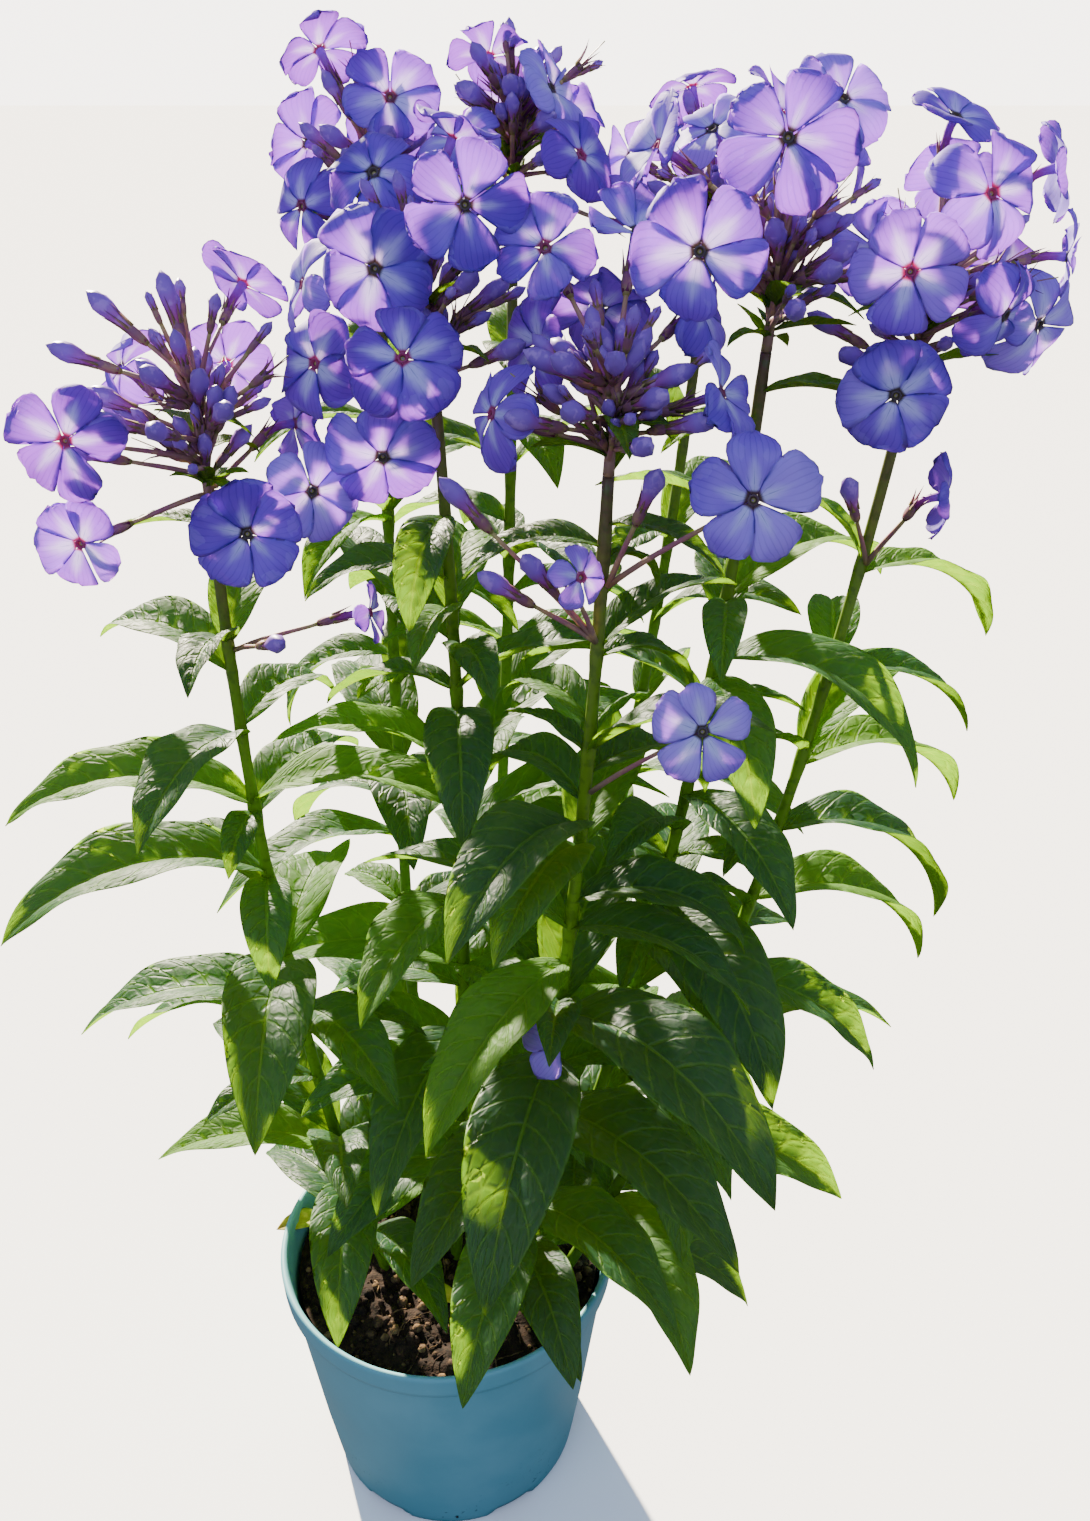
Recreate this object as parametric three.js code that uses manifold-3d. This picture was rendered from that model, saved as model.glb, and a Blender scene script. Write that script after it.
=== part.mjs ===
// A garden phlox in flower, growing in a round plastic nursery pot.
// Millimetres, +Z up. The origin is the centre of the pot's flat base, and -Y is the front.
// Bearings are degrees from the front, turning towards +X: 90 is right, 180 is back.
import * as THREE from "three";
import { mergeVertices } from "three/addons/utils/BufferGeometryUtils.js";
import Module from "manifold-3d";

const wasm = await Module();
wasm.setup();

// ---- Pot and soil ----
const POT_HEIGHT = 140;
const RIM_RADIUS = 85;
const FOOT_RADIUS = 66;
const WALL = 2.5;
const RIM_BAND = 14; // height of the thick band round the top
const FOOT_HEIGHT = 7; // the base stands on a ring and a centre disc this high
const CENTRE_DISC_RADIUS = 46;
const DRAIN_NOTCHES = 6;
const NOTCH_WIDTH = 24;
const POT_SIDES = 32;
const SOIL_TOP = 126;
const FIT_GAP = 0.35; // gap left between touching pieces
const WELD = 0.01; // edges shorter than this are closed up
const SOIL_CRUMB_HEIGHT = 4;

// ---- Stems: where each leaves the soil, the point that bends it, its top, and its leaf pairs ----
const STEM_FOOT_DEPTH = 24; // how far a stem reaches into the soil
const STEM_RADIUS_LOW = 3.0;
const STEM_RADIUS_TOP = 2.0;
const STEM_SIDES = 6;
const STEM_STEPS = 9;
const STEMS = {
  left: { soil: [-26, -8], bend: [-74, -16, 300], top: [-68, -30, 536], pairs: 10, turn: 84, seed: 11 },
  back_left: { soil: [-10, 22], bend: [-22, 52, 340], top: [-14, 62, 606], pairs: 11, turn: 40, seed: 23 },
  mid_left: { soil: [2, -2], bend: [22, -4, 360], top: [12, -22, 572], pairs: 11, turn: 75, seed: 37 },
  back: { soil: [12, 26], bend: [34, 66, 360], top: [38, 50, 628], pairs: 11, turn: 10, seed: 41 },
  front: { soil: [22, -28], bend: [62, -62, 300], top: [70, -72, 556], pairs: 10, turn: 68, seed: 53 },
  right: { soil: [36, 2], bend: [112, -6, 330], top: [124, -28, 586], pairs: 11, turn: 80, seed: 67 },
  back_right: { soil: [28, 26], bend: [92, 60, 330], top: [112, 54, 596], pairs: 11, turn: 52, seed: 71 },
  far_right: { soil: [46, -14], bend: [140, -20, 290], top: [178, -12, 574], pairs: 11, turn: 92, seed: 84 },
};

// ---- Leaves: opposite pairs, each pair a quarter turn on from the one below ----
const LEAF_LENGTH = 102; // the longest, on the lower half of a stem
const LEAF_LENGTH_TOP = 62;
const LEAF_WIDTH_SHARE = 0.36;
const SET_LEAF_WIDTH_SHARE = 0.37; // the leaves that are set one by one are a little broader
const LEAF_THICKNESS = 1.3;
const LEAF_FOLD = 20; // degrees that each half is lifted above the rib
const PETIOLE_HALF_WIDTH = 1.7;
const LEAF_STATIONS = [0, 0.12, 0.38, 0.74];
const LOWEST_PAIR = 0.13; // share of the stem's height
const HIGHEST_PAIR = 0.88;
const LEAF_CLEARANCE = 6;
const LEAST_ROOM = 3.4; // a leaf with less room than this doesn't grow
const LEAF_SAMPLES_ALONG = 15;
const LEAF_SAMPLES_ASIDE = 3; // to each side of the rib
const STEM_SAMPLES = 120;
const POT_MARGIN = 8; // room kept between a leaf and the pot's rim
const LEAF_TRIES = [
  [0, 0], [9, 0], [-9, 0], [0, 12], [0, -12], [18, 0], [-18, 0], [9, 12], [-9, 12], [9, -12],
  [-9, -12], [18, 12], [-18, 12], [27, 0], [-27, 0], [0, 24], [18, 24], [-18, 24], [36, 0], [-36, 0],
  [36, 12], [-36, 12],
]; // degrees of turn and of lift
const LEAF_SHRINKS = [1, 0.84, 0.7, 0.56];
// Leaves set one by one: height above the base, bearing, lift, droop from stem to tip, and length.
const SET_LEAVES = {
  left: [
    [468, 240, 40, 80, 76], [474, 125, 35, 110, 60], [440, 345, 30, 70, 85], [444, 155, 30, 80, 70],
    [408, 280, 40, 80, 104], [410, 50, 35, 80, 100], [374, 295, 40, 85, 116], [372, 0, 35, 100, 106],
    [376, 215, 25, 80, 80], [302, 276, 35, 80, 104], [300, 5, 35, 80, 118], [212, 280, 40, 70, 90],
    [214, 30, 40, 80, 84], [526, 262, 15, 45, 42],
  ],
  back_left: [
    [440, 270, 20, 110, 70], [370, 240, 20, 110, 88], [500, 330, 30, 90, 66], [470, 60, 40, 90, 72],
    [540, 290, 30, 80, 60],
  ],
  mid_left: [
    [526, 345, 10, 90, 56], [500, 300, 30, 90, 60],
    [414, 265, 35, 80, 100], [446, 5, 20, 80, 76], [476, 220, 40, 80, 80], [472, 20, 40, 80, 54],
    [304, 255, 25, 100, 88], [260, 255, 50, 110, 84], [248, 310, 35, 90, 86], [192, 320, 45, 75, 82],
    [190, 356, 35, 90, 72],
  ],
  back: [[418, 120, 50, 80, 86], [500, 265, 30, 80, 66], [468, 90, 30, 90, 70], [540, 20, 30, 80, 60]],
  front: [
    [532, 262, 20, 70, 52], [446, 100, 20, 90, 74], [540, 40, 10, 60, 44],
    [434, 232, 45, 110, 62], [422, 330, 40, 85, 98], [496, 310, 45, 110, 56], [466, 240, 45, 110, 56],
    [388, 90, 30, 100, 82], [358, 322, 8, 66, 98], [306, 346, 20, 78, 118], [330, 45, 30, 88, 126],
    [274, 44, 30, 72, 116], [528, 105, 35, 110, 50], [514, 135, 35, 80, 58], [492, 105, 30, 110, 46],
    [208, 42, 40, 80, 104], [180, 20, 35, 85, 84], [176, 338, 35, 75, 84],
  ],
  right: [
    [388, 330, 45, 80, 72], [352, 28, 14, 80, 106], [330, 44, 30, 80, 116], [496, 110, 35, 84, 100],
    [494, 352, 35, 90, 56], [468, 90, 30, 105, 102], [462, 12, 20, 80, 72], [408, 22, 30, 75, 80],
    [572, 75, 35, 60, 46], [560, 300, 30, 70, 42],
  ],
  far_right: [
    [422, 105, 30, 100, 90], [458, 78, 22, 105, 70], [502, 94, 34, 98, 74], [466, 170, 40, 70, 60],
    [392, 92, 24, 112, 100], [358, 100, 35, 100, 104], [318, 70, 15, 80, 84],
  ],
};

// ---- Flowers: throat x, y, z, then the bearing and lift of the way it faces, and its radius ----
// A head's buds fill a cone, and its large outer buds are set one by one by their tips.
const TUBE_LENGTH = 19;
const TUBE_RADIUS = 1.5;
const NOTCH_SHARE = 0.6; // how far in the cut between two lobes reaches
const LOBE_SHOULDER = 19; // degrees to each side of a lobe's middle
const PEDICEL_RADIUS = 0.9;
const BUD_LENGTH = 24;
const BUD_RADIUS = 2.9;
const HEADS = {
  left: {
    axis: 42,
    flowers: [
      [-102, -66, 566, 2, 12, 19], [-105, -60, 530, -12, 4, 16], [-47, -68, 536, 10, 10, 18],
      [-28, -50, 545, 28, 4, 17], [-58, 14, 602, 150, 34, 18], [-42, 2, 555, 120, -6, 16],
      [-104, 6, 574, 250, 20, 17], [-72, 34, 570, 195, 12, 18],
    ],
    buds: { count: 9, bearing: -40, lift: 62, spread: 40, reach: 58 },
    setBuds: [[-100, -30, 606], [-76, -26, 612], [-114, -36, 590]],
  },
  back_left: {
    axis: 34,
    flowers: [
      [-32, 62, 676, 215, 44, 17], [-6, 50, 661, 10, 22, 18], [-42, 56, 624, -32, 8, 18],
      [-44, 92, 644, 232, 22, 18], [-12, 104, 654, 182, 28, 18], [16, 92, 634, 150, 8, 18],
    ],
    buds: { count: 5, bearing: 30, lift: 70, spread: 42, reach: 54 },
  },
  mid_left: {
    axis: 40,
    flowers: [
      [26, -55, 634, 6, 6, 19], [-4, -40, 614, -8, 4, 20], [6, -64, 591, 2, 34, 19],
      [-6, -12, 640, -10, 36, 17], [-26, -36, 584, -36, 12, 17], [-4, -48, 556, 4, -12, 19],
      [-34, -2, 604, -68, 18, 17], [20, -6, 650, 120, 58, 17],
    ],
    buds: { count: 5, bearing: 60, lift: 66, spread: 46, reach: 50 },
  },
  back: {
    axis: 30,
    flowers: [
      [30, 54, 674, 170, 52, 16], [52, 38, 664, 62, 30, 16], [62, 10, 644, 50, 36, 16],
      [82, 14, 626, 118, 40, 16], [34, 92, 656, 182, 22, 18], [58, 82, 654, 150, 26, 16],
      [20, 24, 648, -30, 52, 15],
    ],
    buds: { count: 5, bearing: 0, lift: 66, spread: 34, reach: 48 },
  },
  front: {
    axis: 30,
    flowers: [
      [50, -56, 622, -18, 30, 17], [78, -50, 626, 20, 62, 16], [48, -34, 590, -56, 8, 18],
      [100, -44, 602, 60, 24, 17], [103, -80, 584, 72, 26, 16], [34, -82, 578, -62, 20, 16],
      [68, -28, 600, 172, 30, 17],
    ],
    buds: { count: 13, bearing: 0, lift: 68, spread: 52, reach: 50 },
  },
  right: {
    axis: 36,
    flowers: [
      [118, -74, 653, -8, 14, 20], [94, -82, 624, -8, 8, 20], [140, -36, 662, 20, 40, 17],
      [106, 6, 652, -40, 50, 17], [148, -2, 650, 96, 46, 17], [86, -18, 648, -70, 26, 17],
    ],
    buds: { count: 9, bearing: 20, lift: 60, spread: 40, reach: 52 },
  },
  back_right: {
    axis: 34,
    flowers: [
      [104, 62, 664, 200, 58, 17], [136, 52, 656, 70, 44, 18], [84, 88, 640, 214, 18, 18],
      [118, 98, 638, 178, 16, 18], [148, 82, 630, 136, 18, 18], [150, 42, 628, 66, 2, 16],
    ],
    buds: { count: 4, bearing: 0, lift: 70, spread: 40, reach: 50 },
  },
  far_right: {
    axis: 36,
    flowers: [
      [188, -40, 636, 14, 16, 19], [160, -62, 616, -6, 4, 19], [216, -22, 594, 30, -4, 18],
      [194, -52, 602, 42, -14, 16], [226, 12, 640, 82, 10, 17], [232, 6, 612, 70, -4, 15],
      [186, 4, 656, 30, 60, 17], [163, -52, 577, -10, -2, 18], [198, 36, 634, 160, 30, 18],
      [172, 36, 612, 196, 8, 18], [220, 34, 604, 128, 0, 17],
    ],
    buds: { count: 6, bearing: -50, lift: 44, spread: 40, reach: 48 },
  },
};

// ---- Side sprays: small shoots that carry a flower and buds below a head ----
const SPRAYS = {
  left_low: { stem: "left", height: 478, flower: [-12, -46, 500, 84, 6, 12], buds: [[-40, -64, 496]] },
  front_lone: {
    stem: "front", height: 520, flower: [109, -117, 562, -8, 14, 19.5], buds: [[84, -98, 566]],
  },
  front_low: { stem: "front", height: 440, flower: [100, -108, 484, -8, 16, 17], buds: [] },
  front_left: {
    stem: "front", height: 500, flower: [61, -98, 532, 30, 20, 10],
    buds: [[18, -90, 561], [29, -94, 532], [43, -97, 539]],
  },
  far_right_low: {
    stem: "far_right", height: 508, flower: [186, -46, 542, 78, 4, 15], buds: [[152, -44, 548]],
  },
};

// ---------------------------------------------------------------- small tools

const rad = THREE.MathUtils.degToRad;
const vec = (x, y, z) => new THREE.Vector3(x, y, z);
const UP = vec(0, 0, 1);

// The unit vector with that bearing and lift, both in degrees.
function facing(bearing, lift) {
  const flat = Math.cos(rad(lift));
  return vec(Math.sin(rad(bearing)) * flat, -Math.cos(rad(bearing)) * flat, Math.sin(rad(lift)));
}

// Park and Miller's generator: the same seed always gives the same draws from 0 to 1.
function draws(seed) {
  let state = seed;
  return () => {
    state = (state * 16807) % 2147483647;
    return state / 2147483647;
  };
}

// Two unit vectors square to an axis.
function squareTo(axis) {
  const start = Math.abs(axis.z) < 0.9 ? UP : vec(1, 0, 0);
  const side = vec(0, 0, 0).crossVectors(start, axis).normalize();
  return [side, vec(0, 0, 0).crossVectors(axis, side)];
}

// A closed surface from rings of points, each ring as long as the others, or one point at an end.
class Skin {
  constructor() {
    this.points = [];
    this.faces = [];
  }

  ring(points) {
    const first = this.points.length;
    this.points.push(...points);
    return points.map((_, i) => first + i);
  }

  // With turned, every other side is cut along its other diagonal.
  join(low, high, turned = false) {
    const sides = Math.max(low.length, high.length);
    for (let i = 0; i < sides; i++) {
      const next = (i + 1) % sides;
      if (low.length === 1) this.faces.push([low[0], high[next], high[i]]);
      else if (high.length === 1) this.faces.push([low[i], low[next], high[0]]);
      else if (turned && i % 2 === 0)
        this.faces.push([low[i], low[next], high[i]], [low[next], high[next], high[i]]);
      else this.faces.push([low[i], low[next], high[next]], [low[i], high[next], high[i]]);
    }
  }

  cap(ring, last) {
    for (let i = 1; i < ring.length - 1; i++)
      this.faces.push(last ? [ring[0], ring[i], ring[i + 1]] : [ring[0], ring[i + 1], ring[i]]);
  }

  solid() {
    const vertProperties = new Float32Array(this.points.flatMap((p) => [p.x, p.y, p.z]));
    const make = (faces) => {
      const triVerts = new Uint32Array(faces.flat());
      return new wasm.Manifold(new wasm.Mesh({ numProp: 3, vertProperties, triVerts }));
    };
    const made = make(this.faces);
    return made.volume() > 0 ? made : make(this.faces.map(([a, b, c]) => [a, c, b]));
  }
}

// A tube through points, with a radius at each. Its sides are carried along without twist.
function tube(points, radii, sides) {
  const skin = new Skin();
  let [side] = squareTo(points[1].clone().sub(points[0]).normalize());
  const rings = points.map((point, i) => {
    const before = points[Math.max(i - 1, 0)];
    const after = points[Math.min(i + 1, points.length - 1)];
    const axis = after.clone().sub(before).normalize();
    side = side.clone().addScaledVector(axis, -side.dot(axis)).normalize();
    const over = vec(0, 0, 0).crossVectors(axis, side);
    const corners = [];
    for (let k = 0; k < sides; k++) {
      const angle = (2 * Math.PI * k) / sides;
      corners.push(
        point
          .clone()
          .addScaledVector(side, radii[i] * Math.cos(angle))
          .addScaledVector(over, radii[i] * Math.sin(angle)),
      );
    }
    return skin.ring(corners);
  });
  rings.slice(1).forEach((ring, i) => skin.join(rings[i], ring));
  skin.cap(rings[0], false);
  skin.cap(rings.at(-1), true);
  return skin.solid();
}

const fuse = (solids) => wasm.Manifold.union(solids);

// A three.js geometry as a solid, with its shared vertices merged.
function solidOf(geometry) {
  geometry.deleteAttribute("normal");
  geometry.deleteAttribute("uv");
  const merged = mergeVertices(geometry, 1e-4);
  return new wasm.Manifold(
    new wasm.Mesh({
      numProp: 3,
      vertProperties: merged.attributes.position.array,
      triVerts: new Uint32Array(merged.index.array),
    }),
  );
}

// A named mesh from a solid, keeping only its largest body.
function meshOf(name, solid, colour, roughness) {
  const body = solid.decompose().sort((a, b) => b.volume() - a.volume())[0].asOriginal().simplify(WELD);
  const found = body.getMesh();
  const geometry = new THREE.BufferGeometry();
  geometry.setAttribute("position", new THREE.BufferAttribute(Float32Array.from(found.vertProperties), 3));
  geometry.setIndex(new THREE.BufferAttribute(Uint32Array.from(found.triVerts), 1));
  geometry.computeVertexNormals();
  const material = new THREE.MeshStandardMaterial({ color: colour, roughness, metalness: 0 });
  const mesh = new THREE.Mesh(geometry, material);
  mesh.name = name;
  return mesh;
}

// ---------------------------------------------------------------- stems

// A point on a stem: a quadratic curve from the soil to the top.
function stemPoint(stem, t) {
  const a = vec(stem.soil[0], stem.soil[1], SOIL_TOP - STEM_FOOT_DEPTH);
  const b = vec(...stem.bend);
  const c = vec(...stem.top);
  return a.multiplyScalar((1 - t) * (1 - t)).addScaledVector(b, 2 * t * (1 - t)).addScaledVector(c, t * t);
}

// The share along a stem at a height above the base, found by halving.
function shareAt(stem, height) {
  let low = 0;
  let high = 1;
  for (let i = 0; i < 30; i++) {
    const middle = (low + high) / 2;
    if (stemPoint(stem, middle).z < height) low = middle;
    else high = middle;
  }
  return low;
}

const stemRadius = (t) => STEM_RADIUS_LOW + (STEM_RADIUS_TOP - STEM_RADIUS_LOW) * t;

function stemTube(stem, extra = 0) {
  const shares = Array.from({ length: STEM_STEPS + 1 }, (_, i) => i / STEM_STEPS);
  return tube(shares.map((t) => stemPoint(stem, t)), shares.map((t) => stemRadius(t) + extra), STEM_SIDES);
}

// ---------------------------------------------------------------- leaves

// Half the blade's width at a share s of its length: widest a little below the middle, with a long tip.
function leafHalfWidth(leaf, s) {
  const shape = Math.pow(Math.max(Math.sin(Math.PI * Math.pow(s, 0.8)), 0), 0.9);
  return Math.max((leaf.width / 2) * shape, PETIOLE_HALF_WIDTH * (1 - s));
}

// The rib at a share s: an arc in an upright plane, from the lift at the stem down to the lift at the tip.
function leafFrame(leaf, s) {
  const out = facing(leaf.bearing, 0);
  const start = rad(leaf.lift);
  const fall = rad(leaf.lift - leaf.tipLift);
  const run = s * leaf.length;
  const bend = fall * s;
  const angle = start - bend;
  const straight = bend < 1e-6;
  const forward = straight ? run * Math.cos(start) : (run / bend) * (Math.sin(start) - Math.sin(angle));
  const rise = straight ? run * Math.sin(start) : (run / bend) * (Math.cos(angle) - Math.cos(start));
  const along = out.clone().multiplyScalar(Math.cos(angle)).addScaledVector(UP, Math.sin(angle));
  const side = facing(leaf.bearing - 90, 0).applyAxisAngle(along, rad(leaf.roll) * s);
  const normal = vec(0, 0, 0).crossVectors(side, along);
  const centre = leaf.root.clone().addScaledVector(out, forward).addScaledVector(UP, rise);
  return { centre, side, normal };
}

// A point across the blade: k runs from -1 at one edge to 1 at the other.
function leafPoint(leaf, s, k) {
  const { centre, side, normal } = leafFrame(leaf, s);
  const half = leafHalfWidth(leaf, s);
  const fold = rad(LEAF_FOLD);
  return centre
    .addScaledVector(side, half * k * Math.cos(fold))
    .addScaledVector(normal, half * Math.abs(k) * Math.sin(fold));
}

// A thin blade. Both faces of each half are cut along the same diagonals, so a twisted blade stays sound.
function leafSolid(leaf) {
  const skin = new Skin();
  const rings = LEAF_STATIONS.map((s) => {
    const { centre, normal } = leafFrame(leaf, s);
    return skin.ring([
      leafPoint(leaf, s, -1),
      centre.clone().addScaledVector(normal, -0.65 * LEAF_THICKNESS),
      leafPoint(leaf, s, 1),
      centre.clone().addScaledVector(normal, 0.35 * LEAF_THICKNESS),
    ]);
  });
  rings.slice(1).forEach((ring, i) => skin.join(rings[i], ring, true));
  skin.cap(rings[0], false);
  skin.join(rings.at(-1), skin.ring([leafPoint(leaf, 1, 0)]));
  return skin.solid();
}

// Points spread over a blade, to keep it clear of what was placed before it.
function leafSamples(leaf) {
  const found = [];
  for (let i = 1; i <= LEAF_SAMPLES_ALONG; i++)
    for (let k = -LEAF_SAMPLES_ASIDE; k <= LEAF_SAMPLES_ASIDE; k++)
      found.push(leafPoint(leaf, i / LEAF_SAMPLES_ALONG, k / LEAF_SAMPLES_ASIDE));
  return found;
}

// How far points are from the nearest obstacle, and from the pot's rim. Below zero they reach into the pot.
function clearance(samples, obstacles, enough) {
  let least = enough;
  const rimTop = POT_HEIGHT + POT_MARGIN;
  for (const p of samples)
    if (p.z < rimTop && Math.hypot(p.x, p.y) < RIM_RADIUS + POT_MARGIN) least = Math.min(least, p.z - rimTop);
  const box = new THREE.Box3().setFromPoints(samples).expandByScalar(enough);
  for (const cloud of obstacles) {
    if (!box.intersectsBox(cloud.box)) continue;
    for (const q of cloud.points) {
      if (!box.containsPoint(q)) continue;
      for (const p of samples) least = Math.min(least, p.distanceTo(q));
    }
  }
  return least;
}

const cloudOf = (points) => ({ points, box: new THREE.Box3().setFromPoints(points) });

// The first turn, lift and length near the wish that is clear of everything placed so far, or else the
// clearest one. A leaf with too little room doesn't grow.
function placeLeaf(wish, widthShare, obstacles) {
  let best = null;
  for (const share of LEAF_SHRINKS) {
    for (const [turn, lift] of LEAF_TRIES) {
      const leaf = {
        ...wish,
        bearing: wish.bearing + turn,
        lift: wish.lift + lift,
        tipLift: wish.tipLift + lift,
        length: wish.length * share,
      };
      leaf.width = leaf.length * widthShare;
      const clear = clearance(leafSamples(leaf), obstacles, LEAF_CLEARANCE);
      if (!best || clear > best.clear + 0.01) best = { leaf, clear };
      if (best.clear >= LEAF_CLEARANCE) break;
    }
    if (best.clear >= LEAF_CLEARANCE) break;
  }
  if (best.clear < LEAST_ROOM) return [];
  obstacles.push(cloudOf(leafSamples(best.leaf)));
  return [best.leaf];
}

// The leaves of a stem that are set one by one.
function setLeaves(stem, table, obstacles) {
  const draw = draws(stem.seed + 100);
  return table.flatMap(([height, bearing, lift, droop, length]) => {
    const root = stemPoint(stem, shareAt(stem, height));
    const wish = { root, bearing, lift, tipLift: lift - droop, length, roll: 30 * (draw() - 0.5) };
    return placeLeaf(wish, SET_LEAF_WIDTH_SHARE, obstacles);
  });
}

// The leaf pairs that fill the rest of a stem.
function growLeaves(stem, obstacles) {
  const draw = draws(stem.seed);
  const leaves = [];
  for (let i = 0; i < stem.pairs; i++) {
    const height = stem.pairs > 1 ? i / (stem.pairs - 1) : 0;
    const t = LOWEST_PAIR + (HIGHEST_PAIR - LOWEST_PAIR) * height;
    const full = LEAF_LENGTH - (Math.max(height - 0.6, 0) / 0.4) * (LEAF_LENGTH - LEAF_LENGTH_TOP);
    for (const half of [0, 180]) {
      const wish = {
        root: stemPoint(stem, t),
        bearing: stem.turn + 90 * i + half + 24 * (draw() - 0.5),
        lift: 34 + 16 * height + 16 * (draw() - 0.5),
        length: full * (0.88 + 0.2 * draw()),
        roll: 50 * (draw() - 0.5),
      };
      wish.tipLift = wish.lift - 74 - 26 * draw() + 18 * height;
      leaves.push(...placeLeaf(wish, LEAF_WIDTH_SHARE, obstacles));
    }
  }
  return leaves;
}

// ---------------------------------------------------------------- flowers and buds

// The tube and calyx behind a flower bend from the way it faces towards the place it grows from.
function tubePath(throat, face, root) {
  const home = root.clone().sub(throat).addScaledVector(face, 0.5 * TUBE_LENGTH).normalize();
  const neck = throat.clone().addScaledVector(face, -2.2);
  const bend = throat.clone().addScaledVector(face, -0.42 * TUBE_LENGTH);
  return [neck, bend.addScaledVector(home, 0.7 * TUBE_LENGTH)];
}

// Rings of five or fewer corners along a path, each square to the way there from the point before.
function sweep(skin, path, radii, across, angles, start) {
  let low = start;
  path.forEach((point, i) => {
    const before = i ? path[i - 1] : path[0].clone().multiplyScalar(2).sub(path[1]);
    const away = point.clone().sub(before).normalize();
    const wide = across.clone().addScaledVector(away, -across.dot(away)).normalize();
    const high = vec(0, 0, 0).crossVectors(wide, away);
    const ring = skin.ring(
      angles.map((angle) =>
        point
          .clone()
          .addScaledVector(wide, radii[i] * Math.cos(rad(angle)))
          .addScaledVector(high, radii[i] * Math.sin(rad(angle))),
      ),
    );
    skin.join(low, ring);
    low = ring;
  });
  skin.cap(low, true);
}

// A flower: five lobes cut from one thin dished blade, with its tube, calyx and stalk, as one closed skin.
function flowerSolid({ throat, face, radius, spin, path, root }) {
  const skin = new Skin();
  const [across, over] = squareTo(face);
  const at = (angle, share, depth) =>
    throat
      .clone()
      .addScaledVector(across, radius * share * Math.cos(rad(angle)))
      .addScaledVector(over, radius * share * Math.sin(rad(angle)))
      .addScaledVector(face, depth);
  const middles = [0, 1, 2, 3, 4].map((lobe) => spin + 72 * lobe);
  const eye = skin.ring([at(0, 0, -1.2)]);
  const top = skin.ring(middles.map((middle) => at(middle - 36, 0.36, 0.3)));
  const rim = skin.ring(
    middles.flatMap((middle) => [
      at(middle - 36, NOTCH_SHARE, 0.6),
      at(middle - LOBE_SHOULDER, 1, -0.4),
      at(middle + LOBE_SHOULDER, 1, -0.4),
    ]),
  );
  const back = skin.ring(middles.map((middle) => at(middle - 36, 0.36, -1.1)));
  skin.join(eye, top);
  middles.forEach((_, lobe) => {
    const next = (lobe + 1) % 5;
    const [cut, left, right, nextCut] = [0, 1, 2, 3].map((k) => rim[(3 * lobe + k) % 15]);
    for (const [ring, flip] of [[top, false], [back, true]]) {
      const faces = [
        [ring[lobe], left, cut], [ring[lobe], right, left],
        [ring[lobe], ring[next], right], [ring[next], nextCut, right],
      ];
      skin.faces.push(...(flip ? faces.map(([a, b, c]) => [a, c, b]) : faces));
    }
  });
  const radii = [TUBE_RADIUS, 1.1 * TUBE_RADIUS, PEDICEL_RADIUS];
  sweep(skin, [...path, root], radii, across, middles.map((middle) => middle - 36), back);
  return skin.solid();
}

// A closed bud with its calyx and stalk: a spindle, thickest towards its tip.
function budSolid({ tip, foot, root }) {
  const skin = new Skin();
  const axis = foot.clone().sub(tip).normalize();
  const [across] = squareTo(axis);
  const belly = tip.clone().addScaledVector(axis, 0.3 * BUD_LENGTH);
  const radii = [BUD_RADIUS, 0.5 * BUD_RADIUS, PEDICEL_RADIUS];
  const waist = foot.clone().lerp(belly, 0.3);
  sweep(skin, [belly, waist, root], radii, across, [0, 120, 240], skin.ring([tip.clone()]));
  return skin.solid();
}

// Where a flower's stalk leaves the head's axis: lower for the flowers that hang low.
function stalkRoot(hub, axisEnd, target) {
  const axis = axisEnd.clone().sub(hub);
  const level = target.clone().sub(hub).dot(axis) / axis.lengthSq();
  const share = THREE.MathUtils.clamp(level - 0.42, 0.06, 0.96);
  return hub.clone().addScaledVector(axis, share);
}

// Bud tips spread evenly over a cone by the golden angle.
function budTips(hub, buds) {
  const centre = facing(buds.bearing, buds.lift);
  const [side, over] = squareTo(centre);
  return Array.from({ length: buds.count }, (_, i) => {
    const tilt = rad(buds.spread * Math.sqrt((i + 0.5) / buds.count));
    const angle = rad(137.508 * i);
    const reach = buds.reach * (1 - 0.16 * ((i * 0.618) % 1));
    return hub
      .clone()
      .addScaledVector(centre, reach * Math.cos(tilt))
      .addScaledVector(side, reach * Math.sin(tilt) * Math.cos(angle))
      .addScaledVector(over, reach * Math.sin(tilt) * Math.sin(angle));
  });
}

// A head's plan: its axis, and the throat, face, tube and stalk of each flower and bud.
function planHead(name) {
  const head = HEADS[name];
  const stem = STEMS[name];
  const hub = vec(...stem.top);
  const rise = hub.clone().sub(stemPoint(stem, 0.93)).normalize();
  const axisEnd = hub.clone().addScaledVector(rise, head.axis);
  const flowers = head.flowers.map(([x, y, z, bearing, lift, radius], i) => {
    const throat = vec(x, y, z);
    const face = facing(bearing, lift);
    const root = stalkRoot(hub, axisEnd, throat);
    return { throat, face, radius, spin: (47 * i) % 72, path: tubePath(throat, face, root), root };
  });
  const setBuds = (head.setBuds ?? []).map((tip) => vec(...tip));
  const buds = [...budTips(hub, head.buds), ...setBuds].map((tip) => {
    const root = stalkRoot(hub, axisEnd, tip);
    const foot = tip.clone().addScaledVector(tip.clone().sub(root).normalize(), -BUD_LENGTH);
    return { tip, foot, root };
  });
  return { hub, rise, axisEnd, flowers, buds };
}

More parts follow.
